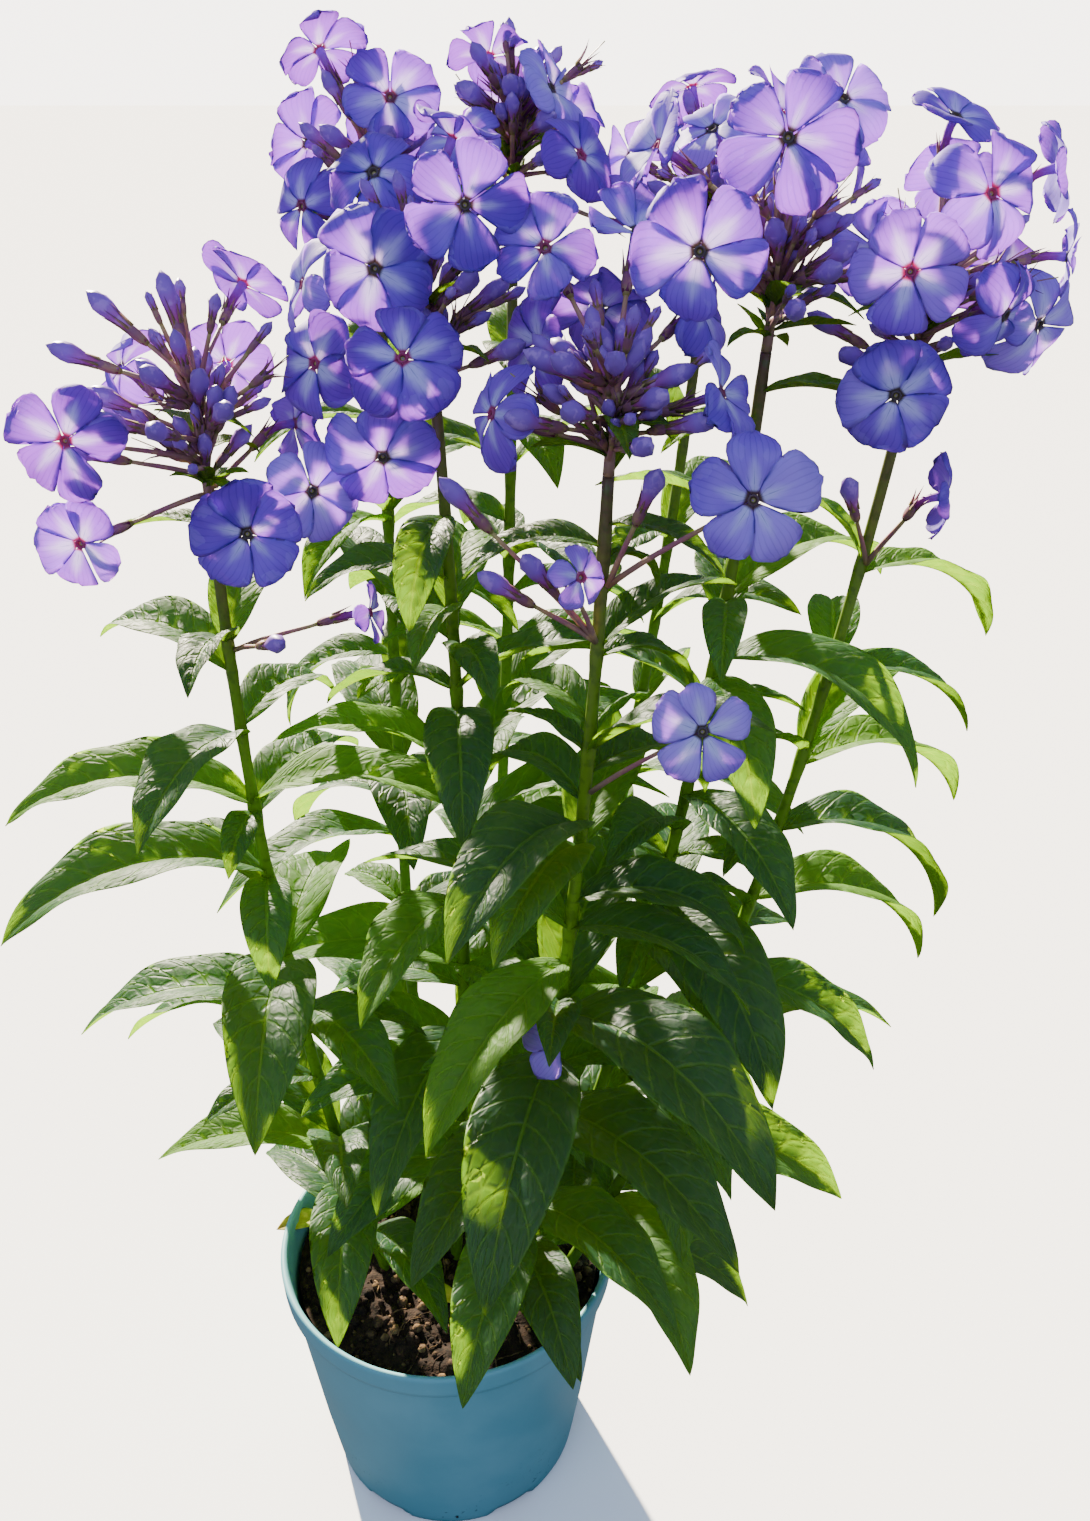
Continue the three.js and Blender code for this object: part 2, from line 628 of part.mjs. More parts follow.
function planSpray(name) {
  const spray = SPRAYS[name];
  const [x, y, z, bearing, lift, radius] = spray.flower;
  const throat = vec(x, y, z);
  const face = facing(bearing, lift);
  const t = shareAt(STEMS[spray.stem], spray.height);
  const axisPoint = stemPoint(STEMS[spray.stem], t);
  const along = stemPoint(STEMS[spray.stem], t + 0.01).sub(axisPoint).normalize();
  const away = throat.clone().sub(axisPoint);
  away.addScaledVector(along, -away.dot(along)).normalize();
  const root = axisPoint.clone().addScaledVector(away, stemRadius(t) + PEDICEL_RADIUS);
  const flower = { throat, face, radius, spin: 20, path: tubePath(throat, face, root), root };
  const buds = spray.buds.map((place) => {
    const tip = vec(...place);
    const foot = tip.clone().addScaledVector(tip.clone().sub(root).normalize(), -BUD_LENGTH);
    return { tip, foot, root };
  });
  return { flowers: [flower], buds };
}

const bloomSolids = (plan) => [...plan.flowers.map(flowerSolid), ...plan.buds.map(budSolid)];

// Points on flowers, buds and stalks, for the leaves to keep clear of.
function bloomSamples(plan) {
  const found = [];
  const between = (a, b, count) => {
    for (let i = 0; i <= count; i++) found.push(a.clone().lerp(b, i / count));
  };
  for (const f of plan.flowers) {
    const [across, over] = squareTo(f.face);
    found.push(f.throat);
    for (const [share, count] of [[0.5, 6], [0.95, 12]])
      for (let i = 0; i < count; i++) {
        const angle = (2 * Math.PI * i) / count;
        found.push(
          f.throat
            .clone()
            .addScaledVector(across, share * f.radius * Math.cos(angle))
            .addScaledVector(over, share * f.radius * Math.sin(angle)),
        );
      }
    between(f.path[0], f.path[1], 3);
    between(f.path[1], f.root, 5);
  }
  for (const b of plan.buds) {
    between(b.foot, b.tip, 4);
    between(b.root, b.foot, 3);
  }
  return found;
}

// ---------------------------------------------------------------- pot and soil

function potSolid() {
  const wallTop = POT_HEIGHT - RIM_BAND;
  const slope = (RIM_RADIUS - 3.5 - FOOT_RADIUS) / wallTop;
  const outer = (z) => FOOT_RADIUS + slope * z;
  const floor = FOOT_HEIGHT + WALL;
  const profile = [
    [0, 0], [CENTRE_DISC_RADIUS, 0], [CENTRE_DISC_RADIUS + 2, FOOT_HEIGHT],
    [FOOT_RADIUS - WALL - 1, FOOT_HEIGHT], [FOOT_RADIUS - WALL - 2, 0], [FOOT_RADIUS - 3, 0],
    [FOOT_RADIUS + 0.4, 10], [outer(wallTop), wallTop], [RIM_RADIUS - 0.6, wallTop + 1.5],
    [RIM_RADIUS, POT_HEIGHT - 1], [RIM_RADIUS - 1.5, POT_HEIGHT], [RIM_RADIUS - 3.5, POT_HEIGHT - 1],
    [outer(wallTop) - WALL, wallTop - 2], [outer(floor) - WALL, floor + 2],
    [CENTRE_DISC_RADIUS - 1, floor], [CENTRE_DISC_RADIUS - 3, WALL], [0, WALL],
  ].map(([r, z]) => new THREE.Vector2(r, z));
  const bowl = new THREE.LatheGeometry(profile, POT_SIDES).rotateX(Math.PI / 2);
  let solid = solidOf(bowl);
  for (let i = 0; i < DRAIN_NOTCHES; i++) {
    const notch = new THREE.BoxGeometry(2 * 14, NOTCH_WIDTH, 2 * (FOOT_HEIGHT - 1));
    notch.translate(FOOT_RADIUS, 0, 0).rotateZ(((i + 0.5) * 2 * Math.PI) / DRAIN_NOTCHES);
    solid = solid.subtract(solidOf(notch));
  }
  return solid;
}

// Soil: a plug that fills the pot, with a crumbly top and a hole for each stem.
function soilSolid() {
  const wallTop = POT_HEIGHT - RIM_BAND;
  const inner = (z) => FOOT_RADIUS + ((RIM_RADIUS - 3.5 - FOOT_RADIUS) / wallTop) * z - WALL - 2 * FIT_GAP;
  const draw = draws(7);
  const skin = new Skin();
  const circle = (radius, z, rough) =>
    skin.ring(
      Array.from({ length: POT_SIDES }, (_, i) =>
        facing((360 * i) / POT_SIDES, 0).multiplyScalar(radius).setZ(z + rough * (draw() - 0.5)),
      ),
    );
  const floor = FOOT_HEIGHT + WALL;
  const rings = [
    circle(CENTRE_DISC_RADIUS - 5, WALL + FIT_GAP, 0), circle(CENTRE_DISC_RADIUS - 3, floor + FIT_GAP, 0),
    circle(inner(floor) - 5, floor + 2.5, 0), circle(inner(SOIL_TOP) - 1.5, SOIL_TOP - 3, 0),
    circle(54, SOIL_TOP, SOIL_CRUMB_HEIGHT), circle(26, SOIL_TOP + 2, SOIL_CRUMB_HEIGHT),
  ];
  rings.slice(1).forEach((ring, i) => skin.join(rings[i], ring));
  skin.cap(rings[0], false);
  skin.join(rings.at(-1), skin.ring([vec(0, 0, SOIL_TOP + 3)]));
  let solid = skin.solid();
  for (const stem of Object.values(STEMS)) {
    const ends = [stemPoint(stem, -0.004), stemPoint(stem, 1 / STEM_STEPS)];
    solid = solid.subtract(tube(ends, ends.map(() => STEM_RADIUS_LOW + FIT_GAP), STEM_SIDES));
  }
  return solid;
}

// ---------------------------------------------------------------- the plant

const plant = new THREE.Group();
plant.add(meshOf("pot", potSolid(), 0x4f88a6, 0.5));
plant.add(meshOf("soil", soilSolid(), 0x2b211a, 1));

const heads = Object.fromEntries(Object.keys(HEADS).map((name) => [name, planHead(name)]));
const sprays = Object.fromEntries(Object.keys(SPRAYS).map((name) => [name, planSpray(name)]));

// Every stem's leaves that are set one by one come first, then the pairs that fill in. A leaf may lie
// close to its own stem, so that stem's points are left out while its leaves are placed.
const leaves = Object.fromEntries(Object.keys(STEMS).map((name) => [name, []]));
const placed = [...Object.values(heads), ...Object.values(sprays)].map((plan) => cloudOf(bloomSamples(plan)));
const stemCloud = (stem) =>
  cloudOf(Array.from({ length: STEM_SAMPLES }, (_, i) => stemPoint(stem, (i + 1) / STEM_SAMPLES)));
const passes = [
  (stem, name, obstacles) => setLeaves(stem, SET_LEAVES[name] ?? [], obstacles),
  (stem, name, obstacles) => growLeaves(stem, obstacles),
];
for (const grow of passes)
  for (const [name, stem] of Object.entries(STEMS)) {
    const others = Object.keys(STEMS).filter((other) => other !== name);
    placed.unshift(...others.map((other) => stemCloud(STEMS[other])).reverse());
    leaves[name].push(...grow(stem, name, placed));
    placed.splice(0, others.length);
  }

for (const [name, stem] of Object.entries(STEMS)) {
  const solid = fuse([stemTube(stem), ...leaves[name].map(leafSolid)]);
  plant.add(meshOf(`leafy_stem_${name}`, solid, 0x3f7a2e, 0.6));
}

for (const [name, plan] of Object.entries(heads)) {
  const foot = plan.hub.clone().addScaledVector(plan.rise, FIT_GAP + 0.15);
  const axis = tube([foot, plan.axisEnd], [STEM_RADIUS_TOP, 1.1], STEM_SIDES);
  plant.add(meshOf(`flower_head_${name}`, fuse([axis, ...bloomSolids(plan)]), 0x7a63c8, 0.6));
}

for (const [name, plan] of Object.entries(sprays))
  plant.add(meshOf(`side_spray_${name}`, fuse(bloomSolids(plan)), 0x7a63c8, 0.6));

export default plant;
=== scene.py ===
"""Dresses a garden phlox in flower, and the nursery pot it grows in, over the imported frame.

Everything is in metres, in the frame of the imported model: +Z up, -Y to the front, and the origin
at the centre of the pot's base. The tables below are in millimetres, and MM turns them to metres.
A bearing is in degrees from the front, turning towards +X, and a lift is in degrees above level.
"""

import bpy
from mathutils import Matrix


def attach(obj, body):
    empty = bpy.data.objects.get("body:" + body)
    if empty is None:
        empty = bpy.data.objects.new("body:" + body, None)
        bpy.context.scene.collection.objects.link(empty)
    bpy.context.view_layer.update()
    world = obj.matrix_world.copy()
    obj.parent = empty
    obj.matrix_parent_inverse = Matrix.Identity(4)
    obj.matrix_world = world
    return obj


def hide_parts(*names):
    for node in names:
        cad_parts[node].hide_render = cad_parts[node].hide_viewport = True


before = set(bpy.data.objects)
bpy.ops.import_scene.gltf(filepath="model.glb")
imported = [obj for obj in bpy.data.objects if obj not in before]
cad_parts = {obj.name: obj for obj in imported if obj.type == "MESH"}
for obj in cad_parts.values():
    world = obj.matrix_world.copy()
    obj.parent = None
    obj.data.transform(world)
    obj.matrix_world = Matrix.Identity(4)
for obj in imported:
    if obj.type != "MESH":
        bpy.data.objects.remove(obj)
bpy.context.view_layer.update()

import logging
import math
from dataclasses import dataclass, field, replace
from enum import Enum
from functools import partial
from typing import Any, Sequence

import bpy
import numpy as np
from mathutils import Matrix, Vector

Array = np.ndarray
log = logging.getLogger("phlox")

MM = 0.001
UP = np.array([0.0, 0.0, 1.0])
ROOT = "root"

# ---------------------------------------------------------------- driving dimensions, in mm

POT_HEIGHT = 140.0
RIM_RADIUS = 85.0
FOOT_RADIUS = 66.0
WALL = 2.5
RIM_BAND = 14.0
RIM_STEP = 3.5  # how far the band stands out from the wall
WALL_SLOPE = (RIM_RADIUS - RIM_STEP - FOOT_RADIUS) / (POT_HEIGHT - RIM_BAND)
FOOT_HEIGHT = 7.0
CENTRE_DISC_RADIUS = 46.0
DRAIN_NOTCHES = 6
NOTCH_WIDTH = 24.0
SOIL_TOP = 126.0
FIT_GAP = 0.35

STEM_FOOT_DEPTH = 24.0
STEM_RADIUS_LOW = 3.0
STEM_RADIUS_TOP = 2.0

LEAF_LENGTH = 102.0
LEAF_LENGTH_TOP = 62.0
LEAF_WIDTH_SHARE = 0.36
SET_LEAF_WIDTH_SHARE = 0.37
LEAF_FOLD = 20.0
PETIOLE_HALF_WIDTH = 1.7
LOWEST_PAIR = 0.13
HIGHEST_PAIR = 0.88
FULL_SIZE_TO = 0.6  # the share of a stem's pairs that are full size, past which they shrink
LEAF_CLEARANCE = 6.0  # what a leaf looks for round itself
LEAST_ROOM = 3.4  # with less than this it doesn't grow
RIM_MARGIN = 8.0  # what it keeps from the pot's rim
LEAF_TRIES = (
    (0, 0), (9, 0), (-9, 0), (0, 12), (0, -12), (18, 0), (-18, 0), (9, 12), (-9, 12), (9, -12),
    (-9, -12), (18, 12), (-18, 12), (27, 0), (-27, 0), (0, 24), (18, 24), (-18, 24), (36, 0),
    (-36, 0), (36, 12), (-36, 12),
)
LEAF_SHRINKS = (1, 0.84, 0.7, 0.56)

TUBE_LENGTH = 19.0
PEDICEL_RADIUS = 0.9
BUD_LENGTH = 24.0
STALK_DROP = 0.42  # how far below its flower a stalk leaves the axis, as a share of the axis
STALK_ROOTS = (0.06, 0.96)  # the shares of the axis between which stalks leave it
GOLDEN_ANGLE = 137.508  # degrees from one bud to the next round an axis
LOBES = 5  # petals in a flower, and teeth on a calyx

# How many young buds and bracts crowd each head, and where its draws and a side shoot's start.
YOUNG_BUDS = 34
BRACTS = 9
HEAD_SEED = 300
SPRAY_SEED = 400


# ---------------------------------------------------------------- directions and draws


def facing(bearing: float, lift: float) -> Array:
    """Gives the unit vector with that bearing and lift, both in degrees."""
    b, up = math.radians(bearing), math.radians(lift)
    return np.array([math.sin(b) * math.cos(up), -math.cos(b) * math.cos(up), math.sin(up)])


def unit(vector: Array) -> Array:
    """Gives a vector, or each of an array of vectors, at length 1."""
    return vector / np.maximum(np.linalg.norm(vector, axis=-1, keepdims=True), 1e-12)


def square_to(axis: Array) -> tuple[Array, Array]:
    """Gives two unit vectors that are square to a unit axis and to each other.

    Args:
        axis: the unit axis.

    Returns:
        The two vectors; turning the first a quarter turn round the axis gives the second.
    """
    start = UP if abs(axis[2]) < 0.9 else np.array([1.0, 0.0, 0.0])
    side = unit(np.cross(start, axis))
    return side, np.cross(axis, side)


def turned(side: Array, over: Array, angle: Array | float) -> Array:
    """Gives the unit vector, or each of several, at an angle in radians from side towards over."""
    angle = np.asarray(angle)[..., None]
    return np.cos(angle) * side + np.sin(angle) * over


class Draws:
    """Park and Miller's generator: the same seed always gives the same draws from 0 to 1."""

    def __init__(self, seed: int) -> None:
        """Starts the draws at a seed."""
        self.state = seed

    def __call__(self) -> float:
        """Gives the next draw."""
        self.state = (self.state * 16807) % 2147483647
        return self.state / 2147483647

    def between(self, low: float, high: float) -> float:
        """Gives the next draw, scaled to lie from low to high."""
        return low + (high - low) * self()


# ---------------------------------------------------------------- what grows where


@dataclass(frozen=True)
class StemPlan:
    """A stem: where it leaves the soil, the point that bends it, its top and its leaf pairs."""

    soil: tuple[float, float]
    bend: tuple[float, float, float]
    top: tuple[float, float, float]
    pairs: int
    turn: float
    seed: int

    def at(self, share: Array | float) -> Array:
        """Gives points on the stem, a quadratic curve, for shares from 0 at its foot to 1 at its top.

        Args:
            share: one share, or an array of them.

        Returns:
            The point or points, in mm.
        """
        t = np.asarray(share, float)[..., None]
        foot = np.array([*self.soil, SOIL_TOP - STEM_FOOT_DEPTH])
        bend, top = np.array(self.bend), np.array(self.top)
        return foot * (1 - t) ** 2 + bend * 2 * t * (1 - t) + top * t**2

    def share_at(self, height: float) -> float:
        """Gives where the stem reaches a height, found by halving.

        Args:
            height: the height in mm.

        Returns:
            The share along the stem.
        """
        low, high = 0.0, 1.0
        for _ in range(30):
            middle = (low + high) / 2
            low, high = (middle, high) if self.at(middle)[2] < height else (low, middle)
        return (low + high) / 2


def stem_radius(share: Array | float) -> Array | float:
    """Gives the stem's radius in mm at a share of its length: it narrows evenly to the top."""
    return STEM_RADIUS_LOW + (STEM_RADIUS_TOP - STEM_RADIUS_LOW) * share


STEMS = {
    "left": StemPlan((-26, -8), (-74, -16, 300), (-68, -30, 536), 10, 84, 11),
    "back_left": StemPlan((-10, 22), (-22, 52, 340), (-14, 62, 606), 11, 40, 23),
    "mid_left": StemPlan((2, -2), (22, -4, 360), (12, -22, 572), 11, 75, 37),
    "back": StemPlan((12, 26), (34, 66, 360), (38, 50, 628), 11, 10, 41),
    "front": StemPlan((22, -28), (62, -62, 300), (70, -72, 556), 10, 68, 53),
    "right": StemPlan((36, 2), (112, -6, 330), (124, -28, 586), 11, 80, 67),
    "back_right": StemPlan((28, 26), (92, 60, 330), (112, 54, 596), 11, 52, 71),
    "far_right": StemPlan((46, -14), (140, -20, 290), (178, -12, 574), 11, 92, 84),
}


@dataclass(frozen=True)
class Cone:
    """A head's buds: how many, the bearing and lift of their middle, their spread and reach."""

    count: int
    bearing: float
    lift: float
    spread: float
    reach: float


@dataclass(frozen=True)
class HeadPlan:
    """A flower head: its axis length, its flowers, its cone of buds, and its large outer buds' tips.

    A flower is its throat's x, y and z, the bearing and lift that it faces, and its radius.
    """

    axis: float
    flowers: tuple[tuple[float, ...], ...]
    buds: Cone
    set_buds: tuple[tuple[float, float, float], ...] = ()


HEADS = {
    "left": HeadPlan(42, (
        (-102, -66, 566, 2, 12, 19), (-105, -60, 530, -12, 4, 16), (-47, -68, 536, 10, 10, 18),
        (-28, -50, 545, 28, 4, 17), (-58, 14, 602, 150, 34, 18), (-42, 2, 555, 120, -6, 16),
        (-104, 6, 574, 250, 20, 17), (-72, 34, 570, 195, 12, 18),
    ), Cone(9, -40, 62, 40, 58), ((-100, -30, 606), (-76, -26, 612), (-114, -36, 590))),
    "back_left": HeadPlan(34, (
        (-32, 62, 676, 215, 44, 17), (-6, 50, 661, 10, 22, 18), (-42, 56, 624, -32, 8, 18),
        (-44, 92, 644, 232, 22, 18), (-12, 104, 654, 182, 28, 18), (16, 92, 634, 150, 8, 18),
    ), Cone(5, 30, 70, 42, 54)),
    "mid_left": HeadPlan(40, (
        (26, -55, 634, 6, 6, 19), (-4, -40, 614, -8, 4, 20), (6, -64, 591, 2, 34, 19),
        (-6, -12, 640, -10, 36, 17), (-26, -36, 584, -36, 12, 17), (-4, -48, 556, 4, -12, 19),
        (-34, -2, 604, -68, 18, 17), (20, -6, 650, 120, 58, 17),
    ), Cone(5, 60, 66, 46, 50)),
    "back": HeadPlan(30, (
        (30, 54, 674, 170, 52, 16), (52, 38, 664, 62, 30, 16), (62, 10, 644, 50, 36, 16),
        (82, 14, 626, 118, 40, 16), (34, 92, 656, 182, 22, 18), (58, 82, 654, 150, 26, 16),
        (20, 24, 648, -30, 52, 15),
    ), Cone(5, 0, 66, 34, 48)),
    "front": HeadPlan(30, (
        (50, -56, 622, -18, 30, 17), (78, -50, 626, 20, 62, 16), (48, -34, 590, -56, 8, 18),
        (100, -44, 602, 60, 24, 17), (103, -80, 584, 72, 26, 16), (34, -82, 578, -62, 20, 16),
        (68, -28, 600, 172, 30, 17),
    ), Cone(13, 0, 68, 52, 50)),
    "right": HeadPlan(36, (
        (118, -74, 653, -8, 14, 20), (94, -82, 624, -8, 8, 20), (140, -36, 662, 20, 40, 17),
        (106, 6, 652, -40, 50, 17), (148, -2, 650, 96, 46, 17), (86, -18, 648, -70, 26, 17),
    ), Cone(9, 20, 60, 40, 52)),
    "back_right": HeadPlan(34, (
        (104, 62, 664, 200, 58, 17), (136, 52, 656, 70, 44, 18), (84, 88, 640, 214, 18, 18),
        (118, 98, 638, 178, 16, 18), (148, 82, 630, 136, 18, 18), (150, 42, 628, 66, 2, 16),
    ), Cone(4, 0, 70, 40, 50)),
    "far_right": HeadPlan(36, (
        (188, -40, 636, 14, 16, 19), (160, -62, 616, -6, 4, 19), (216, -22, 594, 30, -4, 18),
        (194, -52, 602, 42, -14, 16), (226, 12, 640, 82, 10, 17), (232, 6, 612, 70, -4, 15),
        (186, 4, 656, 30, 60, 17), (163, -52, 577, -10, -2, 18), (198, 36, 634, 160, 30, 18),
        (172, 36, 612, 196, 8, 18), (220, 34, 604, 128, 0, 17),
    ), Cone(6, -50, 44, 40, 48)),
}


@dataclass(frozen=True)
class SprayPlan:
    """A side shoot below a head: its stem, the height it leaves it, its flower and its buds' tips."""

    stem: str
    height: float
    flower: tuple[float, ...]
    buds: tuple[tuple[float, float, float], ...] = ()


SPRAYS = {
    "left_low": SprayPlan("left", 478, (-12, -46, 500, 84, 6, 12), ((-40, -64, 496),)),
    "front_lone": SprayPlan("front", 520, (109, -117, 562, -8, 14, 19.5), ((84, -98, 566),)),
    "front_low": SprayPlan("front", 440, (100, -108, 484, -8, 16, 17)),
    "front_left": SprayPlan(
        "front", 500, (61, -98, 532, 30, 20, 10), ((18, -90, 561), (29, -94, 532), (43, -97, 539))
    ),
    "far_right_low": SprayPlan("far_right", 508, (186, -46, 542, 78, 4, 15), ((152, -44, 548),)),
}


# Leaves set one by one: height above the base, bearing, lift, droop from stem to tip, length, and
# tone, painted sun and shade, from 0, a dark blue-green leaf in painted shade, to 1, a bright yellow-green
# sunlit one.
SET_LEAVES = {
    "left": (
        (468, 240, 40, 80, 76, 0.6), (474, 125, 35, 110, 60, 0.3), (440, 345, 30, 70, 85, 0.3),
        (444, 155, 30, 80, 70, 0.4), (408, 280, 40, 80, 104, 0.8), (410, 50, 35, 80, 100, 0.85),
        (374, 295, 40, 85, 116, 0.55), (372, 0, 35, 100, 106, 0.45), (376, 215, 25, 80, 80, 0.6),
        (302, 276, 35, 80, 104, 0.5), (300, 5, 35, 80, 118, 0.45), (212, 280, 40, 70, 90, 0.85),
        (214, 30, 40, 80, 84, 0.3), (526, 262, 15, 45, 42, 0.3),
    ),
    "back_left": (
        (440, 270, 20, 110, 70, 0.5), (370, 240, 20, 110, 88, 0.4), (500, 330, 30, 90, 66, 0.7),
        (470, 60, 40, 90, 72, 0.6), (540, 290, 30, 80, 60, 0.5),
    ),
    "mid_left": (
        (526, 345, 10, 90, 56, 0.1), (500, 300, 30, 90, 60, 0.3),
        (414, 265, 35, 80, 100, 0.9), (446, 5, 20, 80, 76, 0.05), (476, 220, 40, 80, 80, 0.5),
        (472, 20, 40, 80, 54, 0.3), (304, 255, 25, 100, 88, 0.5), (260, 255, 50, 110, 84, 0.4),
        (248, 310, 35, 90, 86, 0.3), (192, 320, 45, 75, 82, 0.85), (190, 356, 35, 90, 72, 0.05),
    ),
    "back": (
        (418, 120, 50, 80, 86, 0.4), (500, 265, 30, 80, 66, 0.6), (468, 90, 30, 90, 70, 0.7),
        (540, 20, 30, 80, 60, 0.8),
    ),
    "front": (
        (532, 262, 20, 70, 52, 0.05), (446, 100, 20, 90, 74, 0.15), (540, 40, 10, 60, 44, 0.1),
        (434, 232, 45, 110, 62, 0.2), (422, 330, 40, 85, 98, 0.2), (496, 310, 45, 110, 56, 0.05),
        (466, 240, 45, 110, 56, 0.7), (388, 90, 30, 100, 82, 0.1), (358, 322, 8, 66, 98, 0.85),
        (306, 346, 20, 78, 118, 0.0), (330, 45, 30, 88, 126, 0.1), (274, 44, 30, 72, 116, 0.1),
        (528, 105, 35, 110, 50, 0.2), (514, 135, 35, 80, 58, 0.6), (492, 105, 30, 110, 46, 0.1),
        (208, 42, 40, 80, 104, 0.5), (180, 20, 35, 85, 84, 0.05), (176, 338, 35, 75, 84, 0.55),
    ),
    "right": (
        (388, 330, 45, 80, 72, 0.2), (352, 28, 14, 80, 106, 0.05), (330, 44, 30, 80, 116, 0.2),
        (496, 110, 35, 84, 100, 0.95), (494, 352, 35, 90, 56, 0.5), (468, 90, 30, 105, 102, 0.6),
        (462, 12, 20, 80, 72, 0.6), (408, 22, 30, 75, 80, 0.3), (572, 75, 35, 60, 46, 0.2),
        (560, 300, 30, 70, 42, 0.95),
    ),
    "far_right": (
        (422, 105, 30, 100, 90, 0.95), (458, 78, 22, 105, 70, 0.3), (502, 94, 34, 98, 74, 0.9),
        (466, 170, 40, 70, 60, 0.6), (392, 92, 24, 112, 100, 0.1), (358, 100, 35, 100, 104, 0.9),
        (318, 70, 15, 80, 84, 0.4),
    ),
}


@dataclass
class Flower:
    """An open flower in its place, in mm: its throat, face, radius, spin, calyx end and root."""

    throat: Array
    face: Array
    radius: float
    spin: float
    calyx: Array
    root: Array


@dataclass
class Bud:
    """A closed bud in its place, in mm: its tip, the foot of its calyx and its stalk's root."""

    tip: Array
    foot: Array
    root: Array


@dataclass
class Blooms:
    """The flowers and buds of a head or a side shoot, and the axis that carries them."""

    flowers: list[Flower]
    buds: list[Bud]
    axis: tuple[Array, Array] | None = None

    def samples(self) -> Array:
        """Gives points on flowers, buds and stalks, for the leaves to keep clear of.

        Returns:
            The points in mm, one to a row.
        """
        found: list[Array] = []

        def between(a: Array, b: Array, count: int) -> None:
            """Adds count + 1 points from a to b."""
            found.extend(a + (b - a) * i / count for i in range(count + 1))

        for flower in self.flowers:
            across, over = square_to(flower.face)
            found.append(flower.throat)
            for share, count in ((0.5, 6), (0.95, 12)):
                angle = 2 * math.pi * np.arange(count) / count
                found.extend(flower.throat + share * flower.radius * turned(across, over, angle))
            between(flower.throat - 2.2 * flower.face, flower.calyx, 3)
            between(flower.calyx, flower.root, 5)
        for bud in self.buds:
            between(bud.foot, bud.tip, 4)
            between(bud.root, bud.foot, 3)
        return np.array(found)


def calyx_end(throat: Array, face: Array, root: Array) -> Array:
    """Gives the foot of a flower's calyx: its tube bends from its face towards its root.

    Args:
        throat: the middle of the flower.
        face: the way it faces.
        root: where its stalk leaves the axis.

    Returns:
        The foot, in mm.
    """
    home = unit(root - throat + face * 0.5 * TUBE_LENGTH)
    middle = throat - face * 0.42 * TUBE_LENGTH + home * 0.2 * TUBE_LENGTH
    return middle + home * 0.5 * TUBE_LENGTH


def flower_at(values: Sequence[float], spin: float, root: Array) -> Flower:
    """Gives a flower from its row in a table.

    Args:
        values: the row: throat, bearing, lift and radius.
        spin: its turn on its own axis in degrees.
        root: where its stalk leaves the axis.

    Returns:
        The flower.
    """
    x, y, z, bearing, lift, radius = values
    throat, face = np.array([x, y, z], float), facing(bearing, lift)
    return Flower(throat, face, radius, spin, calyx_end(throat, face, root), root)


def bud_at(tip: Array, root: Array) -> Bud:
    """Gives a bud from its tip and the root of its stalk."""
    return Bud(tip, tip - unit(tip - root) * BUD_LENGTH, root)


def head_blooms(name: str) -> Blooms:
    """Places a head's flowers and buds. Low flowers leave the axis low, and buds fill a cone.

    Args:
        name: the stem's name.

    Returns:
        The head's flowers, buds and axis, in mm.
    """
    head, stem = HEADS[name], STEMS[name]
    hub = np.array(stem.top, float)
    rise = unit(hub - stem.at(0.93))
    axis = rise * head.axis

    def stalk_root(target: Array) -> Array:
        """Gives the place on the axis where the stalk to a target leaves it."""
        share = np.dot(target - hub, axis) / np.dot(axis, axis) - STALK_DROP
        return hub + axis * min(max(share, STALK_ROOTS[0]), STALK_ROOTS[1])

    flowers = [
        flower_at(values, (47 * i) % 72, stalk_root(np.array(values[:3], float)))
        for i, values in enumerate(head.flowers)
    ]
    cone = head.buds
    centre = facing(cone.bearing, cone.lift)
    side, over = square_to(centre)
    buds = []
    for i in range(cone.count):
        tilt = math.radians(cone.spread * math.sqrt((i + 0.5) / cone.count))
        reach = cone.reach * (1 - 0.16 * ((i * 0.618) % 1))
        out = turned(side, over, math.radians(GOLDEN_ANGLE * i))
        tip = hub + reach * (math.cos(tilt) * centre + math.sin(tilt) * out)
        buds.append(bud_at(tip, stalk_root(tip)))
    buds += [bud_at(tip, stalk_root(tip)) for tip in np.array(head.set_buds, float).reshape(-1, 3)]
    return Blooms(flowers, buds, (hub + rise * (FIT_GAP + 0.15), hub + axis))


def spray_blooms(name: str) -> Blooms:
    """Places a side shoot's flower and buds, whose stalks all leave the stem at one point.

    Args:
        name: the side shoot's name.

    Returns:
        Its flower and buds, in mm.
    """
    spray = SPRAYS[name]
    stem = STEMS[spray.stem]
    share = stem.share_at(spray.height)
    on_axis = stem.at(share)
    along = unit(stem.at(share + 0.01) - on_axis)
    away = np.array(spray.flower[:3], float) - on_axis
    away = unit(away - along * np.dot(away, along))
    root = on_axis + away * (stem_radius(share) + PEDICEL_RADIUS)
    buds = [bud_at(np.array(tip, float), root) for tip in spray.buds]
    return Blooms([flower_at(spray.flower, 20, root)], buds)


